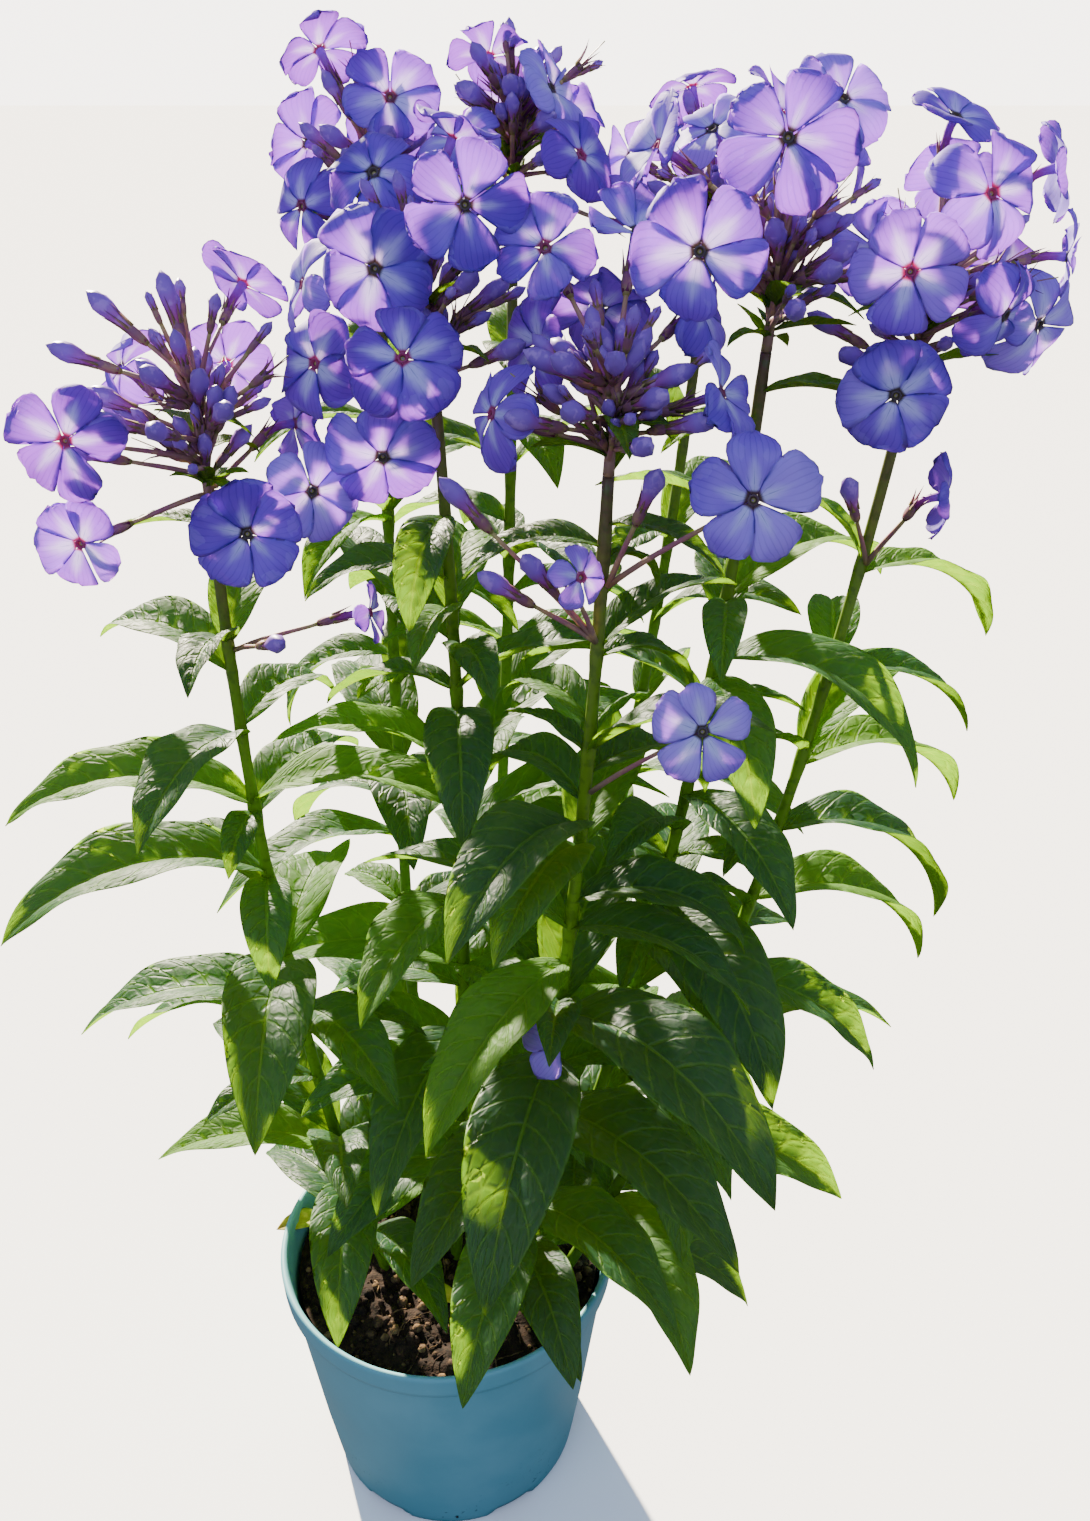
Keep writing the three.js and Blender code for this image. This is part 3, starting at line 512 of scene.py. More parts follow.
@dataclass
class Leaf:
    """A leaf in its place: its root, bearing, lift at the stem and at the tip, length and roll."""

    root: Array
    bearing: float
    lift: float
    tip_lift: float
    length: float
    roll: float
    width_share: float = LEAF_WIDTH_SHARE
    # tone paints the leaf's light: 0 for a leaf in painted shade, 1 for a sunlit one.
    tone: float = 0.5

    @property
    def width(self) -> float:
        """The blade's whole width in mm."""
        return self.length * self.width_share

    def half_width(self, s: Array) -> Array:
        """Gives half the width in mm: the sine of a half turn of s to 0.8, widest below the middle."""
        shape = np.maximum(np.sin(math.pi * np.power(s, 0.8)), 0) ** 0.9
        return np.maximum(self.width / 2 * shape, PETIOLE_HALF_WIDTH * (1 - s))

    def rib(self, s: Array) -> tuple[Array, Array, Array, Array]:
        """Gives the rib, an arc in an upright plane whose lift falls evenly from root to tip.

        Args:
            s: shares of the length.

        Returns:
            The centres, the unit vectors across the blade, its normals and its directions.
        """
        out = facing(self.bearing, 0)
        start, bend = math.radians(self.lift), math.radians(self.lift - self.tip_lift) * s
        bend = np.maximum(bend, 1e-6)
        reach = s * self.length / bend
        forward = reach * (np.sin(start) - np.sin(start - bend))
        rise = reach * (np.cos(start - bend) - np.cos(start))
        angle = start - bend
        along = np.cos(angle)[:, None] * out + np.sin(angle)[:, None] * UP
        level = facing(self.bearing - 90, 0)
        roll = math.radians(self.roll) * s[:, None]
        side = level * np.cos(roll) + np.cross(along, level) * np.sin(roll)
        centre = self.root + forward[:, None] * out + rise[:, None] * UP
        return centre, side, np.cross(side, along), along

    def samples(self) -> Array:
        """Gives points spread over the blade, to keep it clear of what was placed before it.

        Returns:
            The points in mm, one to a row.
        """
        s = np.arange(1, 16) / 15
        centre, side, normal, _ = self.rib(s)
        half = self.half_width(s)[:, None, None]
        k = np.arange(-3, 4)[None, :, None] / 3
        fold = math.radians(LEAF_FOLD)
        points = centre[:, None] + half * (
            k * math.cos(fold) * side[:, None] + np.abs(k) * math.sin(fold) * normal[:, None]
        )
        return points.reshape(-1, 3)


def clearance(samples: Array, obstacles: list[Array], enough: float) -> float:
    """Gives how far a leaf is from the nearest obstacle and the pot's rim, in mm.

    Args:
        samples: points on the leaf.
        obstacles: clouds of points on what was placed before it.
        enough: the distance past which nothing is measured.

    Returns:
        The distance, at most enough. Below zero the leaf reaches into the pot.
    """
    least = enough
    over_pot = np.hypot(samples[:, 0], samples[:, 1]) < RIM_RADIUS + RIM_MARGIN
    low = samples[over_pot, 2] - POT_HEIGHT - RIM_MARGIN
    if low.size and low.min() < 0:
        least = min(least, low.min())
    lowest, highest = samples.min(0) - enough, samples.max(0) + enough
    for cloud in obstacles:
        near = cloud[((cloud >= lowest) & (cloud <= highest)).all(1)]
        if len(near):
            gaps = np.linalg.norm(samples[:, None] - near[None], axis=2)
            least = min(least, gaps.min())
    return float(least)


def place_leaf(wish: Leaf, obstacles: list[Array]) -> list[Leaf]:
    """Turns, lifts or shortens a leaf until it is clear of everything placed so far.

    Args:
        wish: the leaf as it would grow alone.
        obstacles: clouds of points on what was placed before, to which the leaf is added.

    Returns:
        The first clear leaf, or else the clearest one, or none where there is too little room.
    """
    best, most = wish, -math.inf
    for size in LEAF_SHRINKS:
        for turn, more in LEAF_TRIES:
            leaf = replace(
                wish,
                bearing=wish.bearing + turn,
                lift=wish.lift + more,
                tip_lift=wish.tip_lift + more,
                length=wish.length * size,
            )
            clear = clearance(leaf.samples(), obstacles, LEAF_CLEARANCE)
            if clear > most + 0.01:
                best, most = leaf, clear
            if most >= LEAF_CLEARANCE:
                break
        if most >= LEAF_CLEARANCE:
            break
    if most < LEAST_ROOM:
        return []
    obstacles.append(best.samples())
    return [best]


def set_leaves(name: str, stem: StemPlan, obstacles: list[Array]) -> list[Leaf]:
    """Gives the leaves of a stem that are set one by one in the table.

    Args:
        name: the stem's name.
        stem: its plan.
        obstacles: clouds of points on what was placed before, to which each leaf is added.

    Returns:
        The leaves for which there is room.
    """
    draw, leaves = Draws(stem.seed + 100), []
    for height, bearing, lift, droop, length, tone in SET_LEAVES.get(name, ()):
        root, roll = stem.at(stem.share_at(height)), 30 * (draw() - 0.5)
        wish = Leaf(root, bearing, lift, lift - droop, length, roll, SET_LEAF_WIDTH_SHARE, tone)
        leaves += place_leaf(wish, obstacles)
    return leaves


def grow_leaves(name: str, stem: StemPlan, obstacles: list[Array]) -> list[Leaf]:
    """Gives the leaf pairs that fill the rest of a stem, each a quarter turn on from the one below.

    Args:
        name: the stem's name.
        stem: its plan.
        obstacles: clouds of points on what was placed before, to which each leaf is added.

    Returns:
        The leaves for which there is room.
    """
    draw, sun_tones, leaves = Draws(stem.seed), Draws(stem.seed + 500), []
    for i in range(stem.pairs):
        height = i / (stem.pairs - 1)
        share = LOWEST_PAIR + (HIGHEST_PAIR - LOWEST_PAIR) * height
        past = max(height - FULL_SIZE_TO, 0) / (1 - FULL_SIZE_TO)
        full = LEAF_LENGTH - past * (LEAF_LENGTH - LEAF_LENGTH_TOP)
        for half in (0, 180):
            bearing = stem.turn + 90 * i + half + 24 * (draw() - 0.5)
            lift = 34 + 16 * height + 16 * (draw() - 0.5)
            length = full * (0.88 + 0.2 * draw())
            roll = 50 * (draw() - 0.5)
            tip_lift = lift - 74 - 26 * draw() + 18 * height
            # Each grown leaf gets a random tone of painted sun or shade.
            tone = sun_tones.between(0.05, 0.8)
            wish = Leaf(stem.at(share), bearing, lift, tip_lift, length, roll, tone=tone)
            leaves += place_leaf(wish, obstacles)
    return leaves


def all_leaves(blooms: list[Blooms]) -> dict[str, list[Leaf]]:
    """Gives each stem's leaves: first those that are set one by one, then the pairs that fill in.

    Args:
        blooms: the flowers, which the leaves keep clear of.

    Returns:
        The leaves by stem.
    """
    leaves: dict[str, list[Leaf]] = {name: [] for name in STEMS}
    clouds = {name: stem.at((np.arange(120) + 1) / 120) for name, stem in STEMS.items()}
    placed = [found.samples() for found in blooms]
    for grow in (set_leaves, grow_leaves):
        for name, stem in STEMS.items():
            # A leaf may lie close to its own stem.
            near = [cloud for other, cloud in clouds.items() if other != name] + placed
            known = len(near)
            leaves[name] += grow(name, stem, near)
            placed += near[known:]
    return leaves


# ---------------------------------------------------------------- surfaces


def shares(count: int, low: float = 0.0, high: float = 1.0) -> Array:
    """Gives evenly spread values from low to high."""
    return np.linspace(low, high, count)


def level_rings(radius: Array | float, angle: Array, height: Array | float) -> Array:
    """Gives points in mm from their distances from the axis, angles from the front and heights."""
    return np.stack(np.broadcast_arrays(radius * np.sin(angle), -radius * np.cos(angle), height), -1)


def lens_ring(count: int, under: int) -> tuple[Array, Array]:
    """Gives the way round a thin blade: across its top from -1 to 1, and back underneath.

    Args:
        count: the points across the upper face.
        under: the points across the lower face, between its edges.

    Returns:
        The place across for each point of the ring, and its side: 1 on top, -1 underneath, 0 at an edge.
    """
    over = np.sin(shares(count, -1, 1) * math.pi / 2)
    back = np.sin(shares(under + 2, 1, -1)[1:-1] * math.pi / 2)
    side = np.concatenate([[0], np.ones(count - 2), [0], -np.ones(under)])
    return np.concatenate([over, back]), side


@dataclass
class Skin:
    """Closed lofts gathered for one piece, with what each vertex carries for its finish."""

    points: list[Array] = field(default_factory=list)
    faces: list[list[int]] = field(default_factory=list)
    place: list[Array] = field(default_factory=list)
    tone: list[Array] = field(default_factory=list)
    finish: list[int] = field(default_factory=list)
    size: int = 0

    def loft(
        self,
        rings: Array,
        place: Array,
        tone: Sequence[float],
        ends: tuple[Array, Array] | None = None,
        finish: int = 0,
    ) -> None:
        """Adds a closed skin over rings, with a fan of triangles at each end.

        Args:
            rings: points in mm, by ring, then by place round the ring.
            place: three values for each point, which the finish reads.
            tone: three values for the whole skin.
            ends: the point in the middle of each end, or None for the ring's own middle.
            finish: the number of its material on the piece.
        """
        n, m, _ = rings.shape
        first, last = (rings[0].mean(0), rings[-1].mean(0)) if ends is None else ends
        points = np.concatenate([rings.reshape(-1, 3), [first, last]])
        carried = np.concatenate([place.reshape(-1, 3), [place[0].mean(0), place[-1].mean(0)]])
        i, j = np.meshgrid(np.arange(n - 1), np.arange(m), indexing="ij")
        low, next_low = i * m + j, i * m + (j + 1) % m
        quads = np.stack([low, next_low, next_low + m, low + m], -1).reshape(-1, 4)
        k = np.arange(m)
        start = np.stack([np.full(m, n * m), (k + 1) % m, k], -1)
        stop = np.stack([np.full(m, n * m + 1), (n - 1) * m + k, (n - 1) * m + (k + 1) % m], -1)
        a, b, c = (points[quads[:, q]] for q in (0, 1, 2))
        d = points[quads[:, 3]]
        middle = points.mean(0)
        volume = np.einsum("ij,ij->", a - middle, np.cross(b - middle, c - middle))
        volume += np.einsum("ij,ij->", a - middle, np.cross(c - middle, d - middle))
        if volume < 0:
            quads, start, stop = quads[:, ::-1], start[:, ::-1], stop[:, ::-1]
        for found in (quads, start, stop):
            self.faces += (found + self.size).tolist()
        self.finish += [finish] * (len(quads) + 2 * m)
        self.points.append(points)
        self.place.append(carried)
        self.tone.append(np.tile(np.asarray(tone, float), (len(points), 1)))
        self.size += len(points)

    def tube(
        self,
        path: Array,
        radii: Array,
        sides: int,
        tone: Sequence[float],
        finish: int = 0,
        ribs: Array | None = None,
    ) -> None:
        """Adds a tube along a path, whose rings are carried along without twist.

        Args:
            path: the points of its middle line, in mm.
            radii: the radius at each.
            sides: the points round each ring.
            tone: three values for the whole tube.
            finish: the number of its material on the piece.
            ribs: factors on the radius, by ring and place round the ring.
        """
        along = unit(np.gradient(path, axis=0))
        side = square_to(along[0])[0]
        angle = 2 * math.pi * np.arange(sides) / sides
        rings = np.empty((len(path), sides, 3))
        for i, axis in enumerate(along):
            side = unit(side - axis * np.dot(side, axis))
            grown = radii[i] * (1 if ribs is None else ribs[i][:, None])
            rings[i] = path[i] + grown * turned(side, np.cross(axis, side), angle)
        s = np.broadcast_to(shares(len(path))[:, None], (len(path), sides))
        place = np.stack([np.broadcast_to(angle / math.pi - 1, s.shape), s, np.ones_like(s)], -1)
        self.loft(rings, place, tone, finish=finish)

    def piece(self, name: str, materials: Sequence[bpy.types.Material], slot: str, node: str | None) -> None:
        """Makes the piece, in metres at the origin, and says what it rides on and replaces.

        Args:
            name: the piece's name.
            materials: its materials, in the order of their numbers.
            slot: the record's material slot; not used.
            node: the node it replaces, or None.
        """
        mesh = bpy.data.meshes.new(name)
        mesh.from_pydata((np.concatenate(self.points) * MM).tolist(), [], self.faces)
        for label, values in (("place", self.place), ("tone", self.tone)):
            layer = mesh.attributes.new(label, "FLOAT_VECTOR", "POINT")
            layer.data.foreach_set("vector", np.concatenate(values).astype(np.float32).ravel())
        for material in materials:
            mesh.materials.append(material)
        mesh.polygons.foreach_set("material_index", np.array(self.finish, np.int32))
        mesh.polygons.foreach_set("use_smooth", np.ones(len(self.faces), bool))
        mesh.update()
        made = bpy.data.objects.new(name, mesh)
        bpy.context.scene.collection.objects.link(made)
        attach(made, ROOT)
        if node:
            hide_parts(node)
        log.info("%s: %d faces", name, len(self.faces))


# ---------------------------------------------------------------- finishes

SMOOTH = {"interpolation_type": "SMOOTHSTEP"}  # for a MapRange: its value, low, high, start and end
COLOURS = {"data_type": "RGBA"}  # for a Mix: its colours are inputs 6 and 7, and its output is 2


def linear(code: str) -> tuple[float, float, float, float]:
    """Turns an sRGB colour such as #4a829b to linear values with alpha 1."""
    parts = [int(code[i : i + 2], 16) / 255 for i in (1, 3, 5)]
    return (*[c / 12.92 if c <= 0.04045 else ((c + 0.055) / 1.055) ** 2.4 for c in parts], 1.0)


def scale_of(size: float) -> float:
    """Gives a pattern's scale from the size of its marks in mm."""
    return 1 / (size * MM)


def add_node(
    tree: bpy.types.NodeTree,
    kind: str,
    links: Any = (),
    output: Any = 0,
    stops: Sequence[tuple[float, str]] = (),
    **settings: Any,
) -> Any:
    """Adds a node with its settings and links.

    Args:
        tree: the material's node tree.
        kind: the node's type, without its leading ShaderNode.
        links: what its inputs are given, by name or number, or in their order: a socket to link, a
            value, or an sRGB code.
        output: the name or number of the output to return, or None for all of them.
        stops: a colour ramp's stops, each a place from 0 to 1 and an sRGB code.
        settings: the node's own properties.

    Returns:
        The output socket or sockets, or the node where it has none.
    """
    node = tree.nodes.new("ShaderNode" + kind)
    for key, value in settings.items():
        setattr(node, key, value)
    for _ in stops[2:]:
        node.color_ramp.elements.new(0.5)
    for (place, code), element in zip(stops, node.color_ramp.elements if stops else ()):
        element.position, element.color = place, linear(code)
    for key, value in (links if isinstance(links, dict) else dict(enumerate(links))).items():
        if isinstance(value, bpy.types.NodeSocket):
            tree.links.new(value, node.inputs[key])
        else:
            node.inputs[key].default_value = linear(value) if isinstance(value, str) else value
    if output is None:
        return node.outputs
    return node.outputs[output] if node.outputs else node


def new_material(name: str) -> tuple[bpy.types.Material, Any]:
    """Makes an empty node material.

    Args:
        name: the material's name.

    Returns:
        The material, and add_node for its tree.
    """
    material = bpy.data.materials.new(name)
    material.use_nodes = True
    material.node_tree.nodes.clear()
    return material, partial(add_node, material.node_tree)


@dataclass(frozen=True)
class LeafBlade:
    """A fresh leaf blade: a waxy, dark upper face, with a sunken net of paler looped veins.

    Its wax gives the upper face a broad, greyish gloss, and light that comes through it is yellow-green. Its
    colour also holds painted light: the leaf's tone paints it in shade, dark blue-green, or in sun,
    yellow-green, and a noise of blotches paints dappled sun on it.
    """

    name: str = "phlox_leaf_blade"
    # These three run from the shade colour of a leaf in painted shade to the colour of a sunlit one.
    shade: str = "#0c3430"
    fresh: str = "#184632"
    sunlit: str = "#567e1c"
    vein: str = "#6a9a2c"
    under: str = "#4a6a2c"
    glow: str = "#c4ea14"
    vein_glow: str = "#ecff5c"
    edge: str = "#5c9018"
    # The size of the blotches that paint dappled sun on the colour and vary the gloss.
    sun_dapple_and_gloss: float = 18.182  # mm
    grain: float = 2.381  # mm
    cells: tuple[float, float] = (0.18, 1.7)  # fine cells for each mm from the rib, and each side vein
    see_through: float = 0.58  # the share of its light that comes from the far side

    def make(self) -> bpy.types.Material:
        """Makes the material. place holds k, the vein count and side; tone, light, a draw and half width.

        Returns:
            The material.
        """
        material, add = new_material(self.name)
        k, count, side = add("SeparateXYZ", [add("Attribute", output="Vector", attribute_name="place")], None)
        light, _, half = add("SeparateXYZ", [add("Attribute", output="Vector", attribute_name="tone")], None)
        coords = add("TexCoord", output="Object")
        sun_dapple_and_gloss = add("TexNoise", {"Vector": coords, "Scale": scale_of(self.sun_dapple_and_gloss), "Detail": 3.0})
        grain = add("TexNoise", {"Vector": coords, "Scale": scale_of(self.grain), "Detail": 2.0})
        across = add("Math", [k], operation="ABSOLUTE")
        from_rib = add("Math", [across, half], operation="MULTIPLY")
        # A side vein runs where the vein count is a half more than a whole number.
        turn = add("Math", [count], operation="FRACT")
        from_vein = add("Math", [add("Math", [turn, 0.5], operation="SUBTRACT")], operation="ABSOLUTE")
        vein = add("MapRange", [from_vein, 0.02, 0.085, 1.0, 0.0], **SMOOTH)
        rib = add("MapRange", [from_rib, 0.45, 1.0, 1.0, 0.0], **SMOOTH)
        inside = add("MapRange", [across, 0.8, 0.97, 0.62, 0.12], **SMOOTH)
        net = add("Math", [vein, inside], operation="MULTIPLY")
        lines = add("Math", [net, rib], operation="MAXIMUM")
        # Painted light: the leaf's tone and the dappled blotches lift its colour from the shade colour to the
        # sunlit one.
        base = add("Math", [sun_dapple_and_gloss, 0.34, light], operation="MULTIPLY_ADD")
        base = add("Math", [base, 0.17], operation="SUBTRACT")
        colour = add("ValToRGB", [base], stops=((0.08, self.shade), (0.55, self.fresh), (1.0, self.sunlit)))
        rim = add("MapRange", [across, 0.9, 1.0, 0.0, 0.5], **SMOOTH)
        below = add("MapRange", [side, -0.5, 0.0, 0.62, 0.0], **SMOOTH)
        faint = add("Math", [lines, 0.45], operation="MULTIPLY")
        for share, layer in ((rim, self.edge), (below, self.under), (faint, self.vein)):
            colour = add("Mix", {0: share, 6: colour, 7: layer}, 2, **COLOURS)
        # Fine cross veins cut each strip between two side veins into cells about 5 mm across.
        aside = add("Math", [from_rib, self.cells[0]], operation="MULTIPLY")
        upward = add("Math", [count, self.cells[1]], operation="MULTIPLY")
        spot = add("CombineXYZ", [aside, upward, add("Math", [k], operation="SIGN")])
        cell = add("TexVoronoi", {"Vector": spot, "Scale": 1.0}, feature="DISTANCE_TO_EDGE")
        cell_edge = add("MapRange", [cell, 0.02, 0.2, 1.0, 0.0], **SMOOTH)
        relief = add("Math", [cell_edge, 0.38, lines], operation="MULTIPLY_ADD")
        relief = add("Math", [grain, 0.3, relief], operation="MULTIPLY_ADD")
        bump = add("Bump", {"Height": relief, "Strength": 0.8, "Distance": 0.8 * MM}, invert=True)
        rough = add("MapRange", [sun_dapple_and_gloss, 0.3, 0.7, 0.4, 0.54], **SMOOTH)
        rough = add("Math", [light, 0.2, rough], operation="MULTIPLY_ADD")
        look = {"Base Color": colour, "Roughness": rough, "Normal": bump, "IOR": 1.42}
        solid = add("BsdfPrincipled", look | {"Specular IOR Level": 0.5})
        shine = add("Math", [cell_edge, 0.25, faint], operation="MULTIPLY_ADD")
        lit = add("Mix", {0: shine, 6: self.glow, 7: self.vein_glow}, 2, **COLOURS)
        # A leaf with a sunlit tone is also painted to pass more of its yellow-green glow.
        clear = add("MapRange", [light, 0.0, 0.7, 0.8, 1.0], **SMOOTH)
        through = add("Mix", {0: clear, 6: colour, 7: lit}, 2, **COLOURS)
        thin = add("BsdfTranslucent", {"Color": through, "Normal": bump})
        add("OutputMaterial", {"Surface": add("MixShader", [self.see_through, solid, thin])})
        return material


@dataclass(frozen=True)
class Petal:
    """A fresh petal: matt and thin, violet with a pale arm of the star and a few dark lines on each.

    Its soft cells scatter light with hardly any gloss, and light that comes through it is pink-violet. Its
    colour also holds painted light: sunlit petals are painted paler, a backlit flower is painted a pinker
    mauve with a pink eye, and the middle of its mouth is painted near black as the shade inside the tube.
    """

    name: str = "phlox_petal"
    deep: str = "#4e30aa"
    body: str = "#765cd0"
    pale: str = "#b0a0f0"
    # The mauve tint paints the pinker look of a flower lit from behind.
    backlit_mauve: str = "#7a34c0"
    star: str = "#ccd8ff"
    line: str = "#2a0f86"
    # The pink eye paints a backlit flower's eye, and the olive one its eye out of that light.
    backlit_eye: str = "#b8286c"
    shaded_eye: str = "#54421c"
    # Near black painted in the mouth as the shade down inside the tube.
    tube_shade: str = "#140c08"
    pollen: str = "#d8d08c"
    glow: str = "#e49cff"
    star_glow: str = "#fff0fa"
    cloud: float = 7.692  # mm
    # Lines run out from the eye: one down the middle, one to each side, and one along each edge. Each
    # has its place across the petal, its width, its strength and where it ends.
    lines: tuple[tuple[float, float, float, float], ...] = (
        (0.0, 0.05, 0.55, 0.5), (0.4, 0.05, 0.45, 0.42), (0.92, 0.16, 0.85, 0.5),
    )
    fan: float = 4.5  # fine veins across half a petal
    see_through: float = 0.55  # the share of its light that comes from the far side

    def drawn_lines(self, add: Any, k: Any, across: Any, s: Any) -> Any:
        """Adds the dark lines and the faint fan of veins between them.

        Args:
            add: adds a node to the material's tree.
            k: the place across the petal, from -1 to 1.
            across: the same without its sign.
            s: the share from the eye to the petal's end.

        Returns:
            The socket that is 1 on a full line and 0 off it.
        """
        found: Any = 0.0
        for centre, width, strength, end in self.lines:
            off = add("Math", [add("Math", [across, centre], operation="SUBTRACT")], operation="ABSOLUTE")
            fade = add("MapRange", [s, end * 0.4, end, strength, 0.0], **SMOOTH)
            line = add("MapRange", [off, 0.0, width, 1.0, 0.0], **SMOOTH)
            line = add("Math", [line, fade], operation="MULTIPLY")
            found = add("Math", [found, line], operation="MAXIMUM")
        turn = add("Math", [add("Math", [k, self.fan], operation="MULTIPLY")], operation="FRACT")
        off = add("Math", [add("Math", [turn, 0.5], operation="SUBTRACT")], operation="ABSOLUTE")
        vein = add("MapRange", [off, 0.03, 0.16, 0.22, 0.0], **SMOOTH)
        fade = add("MapRange", [s, 0.3, 0.8, 0.4, 1.0], **SMOOTH)
        vein = add("Math", [vein, fade], operation="MULTIPLY")
        return add("Math", [found, vein], operation="MAXIMUM")

    def make(self) -> bpy.types.Material:
        """Makes the material. place holds k, s and side; tone holds the painted sun that makes a petal paler,
        the star's size, and the painted backlight that picks the eye.

        Returns:
            The material.
        """
        material, add = new_material(self.name)
        k, s, side = add("SeparateXYZ", [add("Attribute", output="Vector", attribute_name="place")], None)
        tone = add("Attribute", output="Vector", attribute_name="tone")
        sunlit_paleness, star_size, kind = add("SeparateXYZ", [tone], None)
        coords = add("TexCoord", output="Object")
        cloud = add("TexNoise", {"Vector": coords, "Scale": scale_of(self.cloud), "Detail": 3.0})
        across = add("Math", [k], operation="ABSOLUTE")
        outer = add("MapRange", [s, 0.5, 1.0, 0.15, 0.42], **SMOOTH)
        # Painted sun: a sunlit petal's colour is lifted towards the pale end of the ramp.
        base = add("Math", [cloud, 0.5, sunlit_paleness], operation="MULTIPLY_ADD")
        base = add("Math", [base, outer], operation="SUBTRACT")
        colour = add("ValToRGB", [base], stops=((0.0, self.deep), (0.45, self.body), (1.0, self.pale)))
        # Painted backlight: the third tone tints a backlit flower mauve.
        backlit_warmth = add("MapRange", [kind, 0.3, 1.0, 0.0, 0.6], **SMOOTH)
        # Each arm of the star is broad at the eye and tapers along the middle of its petal.
        reach = add("Math", [across, 0.8, s], operation="MULTIPLY_ADD")
        for less in (star_size, 0.15):
            reach = add("Math", [reach, less], operation="SUBTRACT")
        reach = add("Math", [cloud, 0.3, reach], operation="MULTIPLY_ADD")
        star = add("MapRange", [reach, -0.05, 0.5, 0.8, 0.0], **SMOOTH)
        lines = self.drawn_lines(add, k, across, s)
        # The same painted backlight picks the pink eye over the olive one.
        eye_backlight = add("MapRange", [kind, 0.35, 0.6], **SMOOTH)
        eye = add("Mix", {0: eye_backlight, 6: self.shaded_eye, 7: self.backlit_eye}, 2, **COLOURS)
        near = add("MapRange", [s, 0.05, 0.115, 0.92, 0.0], **SMOOTH)
        # Painted shade: round the pollen, the mouth is painted near black as the inside of the tube.
        depth = add("MapRange", [s, 0.0, 0.014], **SMOOTH)
        inside = add("Mix", {0: depth, 6: self.pollen, 7: self.tube_shade}, 2, **COLOURS)
        mouth = add("MapRange", [s, 0.015, 0.03, 1.0, 0.0], **SMOOTH)
        below = add("MapRange", [side, -0.5, 0.0, 0.3, 0.0], **SMOOTH)
        for share, layer in (
            (backlit_warmth, self.backlit_mauve), (star, self.star), (lines, self.line), (near, eye), (mouth, inside),
            (below, self.pale),
        ):
            colour = add("Mix", {0: share, 6: colour, 7: layer}, 2, **COLOURS)
        bump = add("Bump", {"Height": lines, "Strength": 0.3, "Distance": 0.3 * MM}, invert=True)
        look = {"Base Color": colour, "Roughness": 0.6, "Normal": bump}
        solid = add("BsdfPrincipled", look | {"Specular IOR Level": 0.3, "Sheen Weight": 0.1})
        glow = add("Mix", {0: star, 6: self.glow, 7: self.star_glow}, 2, **COLOURS)
        off_lines = add("Math", [1.0, lines], operation="SUBTRACT")
        off_lines = add("Math", [0.75, off_lines], operation="MULTIPLY")
        through = add("Mix", {0: off_lines, 6: colour, 7: glow}, 2, **COLOURS)
        through = add("Mix", {0: near, 6: through, 7: eye}, 2, **COLOURS)
        thin = add("BsdfTranslucent", {"Color": through, "Normal": bump})
        add("OutputMaterial", {"Surface": add("MixShader", [self.see_through, solid, thin])})
        return material


@dataclass(frozen=True)
class Skinned:
    """A smooth plant skin whose colour runs along its length: a stem, a stalk, a tube or a bud.

    Its thin wax gives it a soft satin gloss, and small paler flecks break its colour.
    """

    name: str
    stops: tuple[tuple[float, str], ...]
    fleck: str
    roughness: float = 0.5
    see_through: float = 0.0  # the share of its light that comes from the far side
    cloud: float = 3.846  # mm

    def make(self) -> bpy.types.Material:
        """Makes the material. place holds the turn, the share along and 1.

        Returns:
            The material.
        """
        material, add = new_material(self.name)
        place = add("SeparateXYZ", [add("Attribute", output="Vector", attribute_name="place")], None)
        coords = add("TexCoord", output="Object")
        cloud = add("TexNoise", {"Vector": coords, "Scale": scale_of(self.cloud), "Detail": 3.0})
        along = add("Math", [cloud, 0.16, place[1]], operation="MULTIPLY_ADD")
        along = add("Math", [along, 0.08], operation="SUBTRACT")
        colour = add("ValToRGB", [along], stops=self.stops)
        flecks = add("MapRange", [cloud, 0.52, 0.66, 0.0, 0.5], **SMOOTH)
        colour = add("Mix", {0: flecks, 6: colour, 7: self.fleck}, 2, **COLOURS)
        bump = add("Bump", {"Height": cloud, "Strength": 0.2, "Distance": 0.4 * MM})
        look = {"Base Color": colour, "Roughness": self.roughness, "Normal": bump}
        shader = add("BsdfPrincipled", look | {"Specular IOR Level": 0.4})
        if self.see_through:
            thin = add("BsdfTranslucent", {"Color": colour, "Normal": bump})
            shader = add("MixShader", [self.see_through, shader, thin])
        add("OutputMaterial", {"Surface": shader})
        return material


